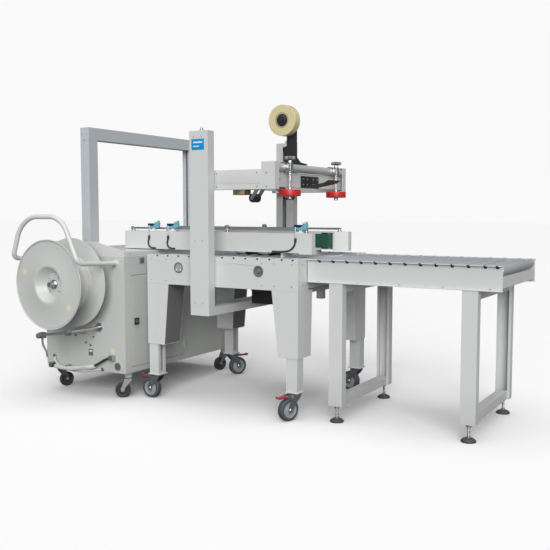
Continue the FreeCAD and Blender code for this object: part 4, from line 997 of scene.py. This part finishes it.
def makeSensors():
    teal, navy, white = "sensorTeal", "sensorNavy", "labelWhite"
    zinc = "zincSteel"
    parts = []
    for x in sensorXs:
        parts.append((softBox(x - 26, x + 18, 154, 172, 831, 836, 1.5), white))
        parts.append((softBox(x - 4, x + 10, 157, 169, 835, 847, 1.5, "z"), white))
        # body: a long housing whose right end sweeps up into a hood
        t = np.linspace(0, 1, 10)
        upper = [(x + 8 + 22 * a, 861 + 23 * a ** 1.6) for a in t]
        outline = ([(x - 31, 847), (x - 28, 845.5), (x + 30, 846), (x + 36, 852), (x + 38, 868),
                    (x + 34, 884)] + upper[::-1] + [(x - 29, 861), (x - 32, 857)])
        parts.append((prism(outline, "y", 153, 173, 1.5), teal))
        parts.append((softBox(x - 30, x + 9, 151, 175, 857, 870, 3.0, "x"), navy))
        parts.append((softBox(x + 12, x + 33, 151.6, 174.4, 876, 882, 1.5, "x"), white))
        stay = [(0, 800), (2.5, 800), (2.5, 858), (2, 860), (0, 860)]
        parts.append((lathe(stay, (x - 16, 146.5, 0), "z", 16), zinc))
        gland = [(0, 790), (5, 790), (6, 794), (6, 806), (4, 810), (0, 810)]
        parts.append((lathe(gland, (x - 16, 146, 0), "z", 16), "blackRubber"))
        parts.append((softBox(x - 19, x - 13, 145.5, 155, 850, 856, 1.0, "y"), zinc))
    makePiece("sensorHeads", parts, "near_belt_unit", ["sensors"])


makeSensors()
print("belt units made")


# fixed details: screws, ports, labels, lock, cable sleeve, feet, caps

def makePorts():
    zinc, dark = "zincSteel", "castGrey"
    parts = []
    for x in (-656.0, -203.0):
        ring = [(20.4, -0.2), (25, -0.2), (26.2, -1.2), (26.2, -2.4), (25.4, -3.2), (21.4, -3.2),
                (20.4, -2.2), (20.4, -0.2)]
        parts.append((lathe(ring, (x, 0, 662), "y", 48), dark))
    face = [(0, 1.4), (20, 1.4), (20.3, 0.6), (19.5, -0.6), (9, -0.6), (8, -1.6), (0, -1.6)]
    parts.append((lathe(face, (-656, 0, 662), "y", 40), "wheelGrey"))
    for x in (-670.0, -648.0):
        parts.append((softBox(x - 1.5, x + 6, -1.6, 0, 648, 655, 0.8, "z"), "labelWhite"))
    bearing = [(0, 1.4), (20, 1.4), (20.3, 0.4), (15, 0.2), (14, 1.2), (10, 1.2), (9.5, -3),
               (8, -4), (0, -4)]
    parts.append((lathe(bearing, (-203, 0, 662), "y", 40), dark))
    for turn in np.radians([20, 140, 260]):
        spot = (-203 + 5 * math.cos(turn), -3.6, 662 + 5 * math.sin(turn))
        parts.append((lathe([(0, 0), (3.2, 0), (3, -1.6), (0, -2)], spot, "y", 12), zinc))
    parts.append((lathe([(15.5, 0), (18.5, 0), (18.3, -1.6), (15.7, -1.6), (15.5, 0)],
                        (-203, 0, 662), "y", 40), zinc))
    makePiece("panelPorts", parts + acrossAll(parts), rootBody)


def makeLabels():
    parts = [(softBox(-530, -459, -57.5, -56.9, 1212, 1262, 0.2, "x", 0.2), "labelBlue"),
             (softBox(-520, -469, -57.8, -57.4, 1243, 1250, 0.2, "x", 0.2),
              "labelWhite"),
             (softBox(-520, -487, -57.8, -57.4, 1226, 1231, 0.2, "x", 0.2),
              "labelWhite")]
    parts.append((softBox(-1167, -1136, -90.6, -89.9, 202, 236, 0.2, "x", 0.2),
                  "castGrey"))
    parts.append((softBox(-1162, -1141, -90.9, -90.5, 222, 230, 0.2, "x", 0.2),
                  "labelWhite"))
    parts.append((softBox(-1016, -994, -90.5, -89.9, 226, 250, 0.2, "x", 0.2),
                  "labelYellow"))
    makePiece("blankLabels", parts, rootBody)


def makeLock():
    x = -915.0
    parts = [(softBox(x - 0.5, x + 5, -29, 5, 369, 403, 3.5, "x", 1.6), "blackPaint")]
    ring = [(7, -0.5), (10, -0.5), (10, 6.0), (8.5, 7.0), (7, 6.2), (7, -0.5)]
    parts.append((lathe(ring, (x, -12, 386), "x", 28), "zincSteel"))
    slotBox = softBox(x + 3, x + 5.8, -13.5, -10.5, 381, 391, 0.4, "z", 0.3)
    parts.append((slotBox, "zincSteel"))
    makePiece("doorLock", parts, "door")
    latch = [(softBox(-920.4, -914, 22, 52, 674, 702, 1.5, "z"), "castGrey")]
    makePiece("cabinetLatch", latch, rootBody)


def makeSleeve():
    route = smoothRoute([(-1100, -117, 158), (-1130, -119, 150), (-1175, -120, 143.5),
                         (-1228, -120, 134), (-1277, -119.5, 128.7), (-1330, -118, 127.3),
                         (-1378, -114.5, 130)], 22)
    parts = [(tubeAlong(route, 10.5, 18, (0.9, 44)), "sleeveWhite")]
    # a second, thinner air line that runs along with it and up to a fitting
    thin = smoothRoute([(-1070, -96, 140), (-1120, -104, 133), (-1190, -108, 120),
                        (-1270, -106, 117), (-1345, -104, 126), (-1392, -100, 150),
                        (-1404, -95, 176)], 14)
    parts.append((tubeAlong(thin, 6.0, 14), "sleeveWhite"))
    for x, z in ((-1160.0, 146), (-1290.0, 141)):
        clip = softBox(x - 6, x + 6, -132, -90, z, z + 3, 1.0, "y", 0.6)
        parts.append((clip, "zincSteel"))
    for x, z in ((-1070, 140), (-1404, 180)):
        cup = [(0, -12), (8, -12), (10, -9), (10, 0), (0, 0)]
        parts.append((lathe(cup, (x, -90, z), "y", 6), "zincSteel"))
    makePiece("cableSleeve", parts, rootBody)
    fittings = []
    for x, z, r in ((-1210.0, 322.0, 9.0), (-1252.0, 300.0, 6.0), (-1180.0, 268.0, 5.0),
                    (-1150.0, 256.0, 5.0), (-1130.0, 300.0, 4.0)):
        cup = [(0, -9), (r * 0.7, -9), (r, -6), (r, 0), (0, 0)]
        fittings.append((lathe(cup, (x, -90, z), "y", 12), "castGrey"))
    handle = softBox(-1245, -1176, -112, -98, 314, 336, 6.0, "x", 4)
    fittings.append((handle, "tanPad"))
    for x in (-1232.0, -1190.0):
        fittings.append((lathe(rodLine(5, -100, -90), (x, 0, 325),
                               "y", 16), "zincSteel"))
    makePiece("wallFittings", fittings, rootBody)


def makeFeet():
    parts = []
    for x in (149.5, 743.5):
        for y in (92.0, 620.0):
            disc = [(0, 0), (30, 0), (31, 1.5), (31, 5), (28, 9), (22, 13), (16, 15.5), (0, 16)]
            parts.append((lathe(disc, (x, y, 0), "z", 40), "blackRubber"))
            t = np.linspace(16, 72, 57)
            thread = [(5.6 + 0.45 * math.cos(2 * math.pi * a / 3.5), a) for a in t]
            parts.append((lathe([(0, 16)] + thread + [(0, 72)], (x, y, 0), "z", 20),
                          "chromeSteel"))
            nut = [(0, 60), (10, 60), (11, 61), (11, 69), (10, 70), (0, 70)]
            parts.append((lathe(nut, (x, y, 0), "z", 6), "zincSteel"))
            collar = [(0, 15), (9, 15), (9, 20), (7, 23), (0, 23)]
            parts.append((lathe(collar, (x, y, 0), "z", 24), "zincSteel"))
    makePiece("levellingFeet", parts, rootBody, ["table_feet"])


def makeFixedScrews():
    near = (0, -1, 0)
    places = [(x, 0, z, near) for x in (-826, -733, -121, -30, -185) for z in (600, 700)]
    places += [(x, -57, z, near) for x in (-516, -471) for z in (507, 798, 1273)]
    places += [(x, 83, 626, near) for x in range(60, 860, 190)]
    places += [(x, -60, z, near) for x in (-1215, -1180) for z in (760, 1320)]
    places += [(x, -90, 690, near) for x in (-1440, -940)]
    mirrored = [(x, bedWidth - y, z, "y") for x, y, z, normal in places if x < 0 and x > -900]
    right = "x"
    places += [(-920, y, 722, right) for y in (-50, 180, 420, 660)]
    places += [(0, 40, z, right) for z in (605, 700)]
    addScrews("fixedScrews", rootBody, places + mirrored, 3.6, 2.4)


# the leg covers' inner sides: dark plates of painted shade, standing for the shaded opening inside
# a narrow folded edge
legOpeningShade = dict(low=281.0, high=575.0, fromY=3.5, footY=120.0, headY=131.5,
                  leftX=(-747.7, -721.3), rightX=(-100.3, -134.7))


def makeLegOpeningShades():
    # a thin slanted plate of painted shade: a ring of four corners at the foot, one at the head,
    # both closed
    o = legOpeningShade
    parts = []
    for (foot, head), turn in ((o["leftX"], 1), (o["rightX"], -1)):
        rings = []
        for x, z, toY in ((foot, o["low"], o["footY"]), (head, o["high"], o["headY"])):
            inner, outer = x - 0.5 * turn, x + 0.35 * turn
            ring = [(inner, o["fromY"], z), (outer, o["fromY"], z), (outer, toY, z),
                    (inner, toY, z)]
            rings.append(np.array(ring if turn > 0 else ring[::-1]))
        ends = [np.tile(ring.mean(axis=0), (4, 1)) for ring in rings]
        shape = gridShape(np.array([ends[0]] + rings + [ends[1]]))
        parts.append((shape, "shadedPaint"))
    makePiece("legCoverOpeningShade", parts + acrossAll(parts), rootBody)


makeLegOpeningShades()
makePorts()
makeLabels()
makeLock()
makeSleeve()
makeFeet()
makeFixedScrews()
print("fixed details made")


# folded sheet edges: the painted CAD nodes get a small rounded edge

roundedNodes = ["sealer_side_panels", "sealer_leg_covers", "sealer_leg_tubes", "masts",
                "mast_tie_beam", "cabinet_shell", "bench_top", "arch_uprights",
                "arch_top_beam", "table_side_rails", "table_legs", "head_frame",
                "cabinet_door"]
edgeRound = dict(width=0.0012, segments=2, angle=35.0)


def roundEdges(node):
    weld = node.modifiers.new("join", "WELD")
    weld.merge_threshold = 1e-5
    bevel = node.modifiers.new("fold", "BEVEL")
    bevel.width = edgeRound["width"]
    bevel.segments = edgeRound["segments"]
    bevel.limit_method = "ANGLE"
    bevel.angle_limit = math.radians(edgeRound["angle"])
    bevel.use_clamp_overlap = True
    bevel.harden_normals = False


for name in roundedNodes:
    roundEdges(nodes[name])
print("edges rounded")


# floor, light and camera

stageSizes = dict(floorHalf=60.0, floorTone=(0.98, 0.98, 0.98), worldTone=(1.0, 1.0, 1.0),
                  worldStrength=0.22, keySun=2.68, topSun=1.55, backdrop=0.952, floorBounce=0.20)


def splitRays(tree, lighting, seen, output):
    # one shader lights the object, the other is what shows behind it
    rays = tree.nodes.new("ShaderNodeLightPath")
    mix = tree.nodes.new("ShaderNodeMixShader")
    tree.links.new(rays.outputs["Is Camera Ray"], mix.inputs[0])
    tree.links.new(lighting.outputs[0], mix.inputs[1])
    tree.links.new(seen.outputs[0], mix.inputs[2])
    tree.links.new(mix.outputs[0], tree.nodes[output].inputs["Surface"])


def makeStage():
    s = stageSizes["floorHalf"]
    mesh = bpy.data.meshes.new("floor")
    mesh.from_pydata([(-s, -s, -0.0005), (s, -s, -0.0005), (s, s, -0.0005), (-s, s, -0.0005)],
                     [], [(0, 1, 2, 3)])
    floor = bpy.data.objects.new("floor", mesh)
    bpy.context.scene.collection.objects.link(floor)
    material = finishMaterial("floorPale", dict(
        colour=stageSizes["floorTone"], rough=0.8, bump=0.02, dust=0.0, grime=0.0, scuff=0.0,
        blotchDark=0.99))
    tree = material.node_tree
    quiet = tree.nodes.new("ShaderNodeBsdfDiffuse")
    quiet.inputs["Color"].default_value = (*[stageSizes["floorBounce"]] * 3, 1)
    splitRays(tree, quiet, tree.nodes["Principled BSDF"], "Material Output")
    mesh.materials.append(material)
    world = bpy.data.worlds.new("studio")
    world.use_nodes = True
    tree = world.node_tree
    soft = tree.nodes["Background"]
    soft.inputs["Color"].default_value = (*stageSizes["worldTone"], 1)
    soft.inputs["Strength"].default_value = stageSizes["worldStrength"]
    bright = tree.nodes.new("ShaderNodeBackground")
    bright.inputs["Color"].default_value = (1, 1, 1, 1)
    bright.inputs["Strength"].default_value = stageSizes["backdrop"]
    splitRays(tree, soft, bright, "World Output")
    bpy.context.scene.world = world
    bpy.context.scene.view_settings.view_transform = "Standard"
    for name, direction, angle, power in (
            ("keySun", (-0.62, 1.0, -0.45), 38.0, stageSizes["keySun"]),
            ("topSun", (-0.10, 0.15, -1.0), 60.0, stageSizes["topSun"])):
        data = bpy.data.lights.new(name, "SUN")
        data.angle = math.radians(angle)
        data.energy = power
        lamp = bpy.data.objects.new(name, data)
        lamp.rotation_euler = Vector(direction).to_track_quat("-Z", "Y").to_euler()
        bpy.context.scene.collection.objects.link(lamp)


cameraSettings = dict(place=(1666.5, -2976.3, 931.2), lens=51.17, yaw=30.92, dip=4.65)


def makeCamera():
    c = cameraSettings
    data = bpy.data.cameras.new("camera")
    data.lens = c["lens"]
    data.sensor_width = 36.0
    data.clip_end = 200.0
    camera = bpy.data.objects.new("camera", data)
    camera.location = Vector((np.array(c["place"]) / 1000 + drawingZero).tolist())
    camera.rotation_euler = (math.radians(90 - c["dip"]), 0, math.radians(c["yaw"]))
    bpy.context.scene.collection.objects.link(camera)
    bpy.context.scene.camera = camera


makeStage()
makeCamera()
print("stage and camera made")
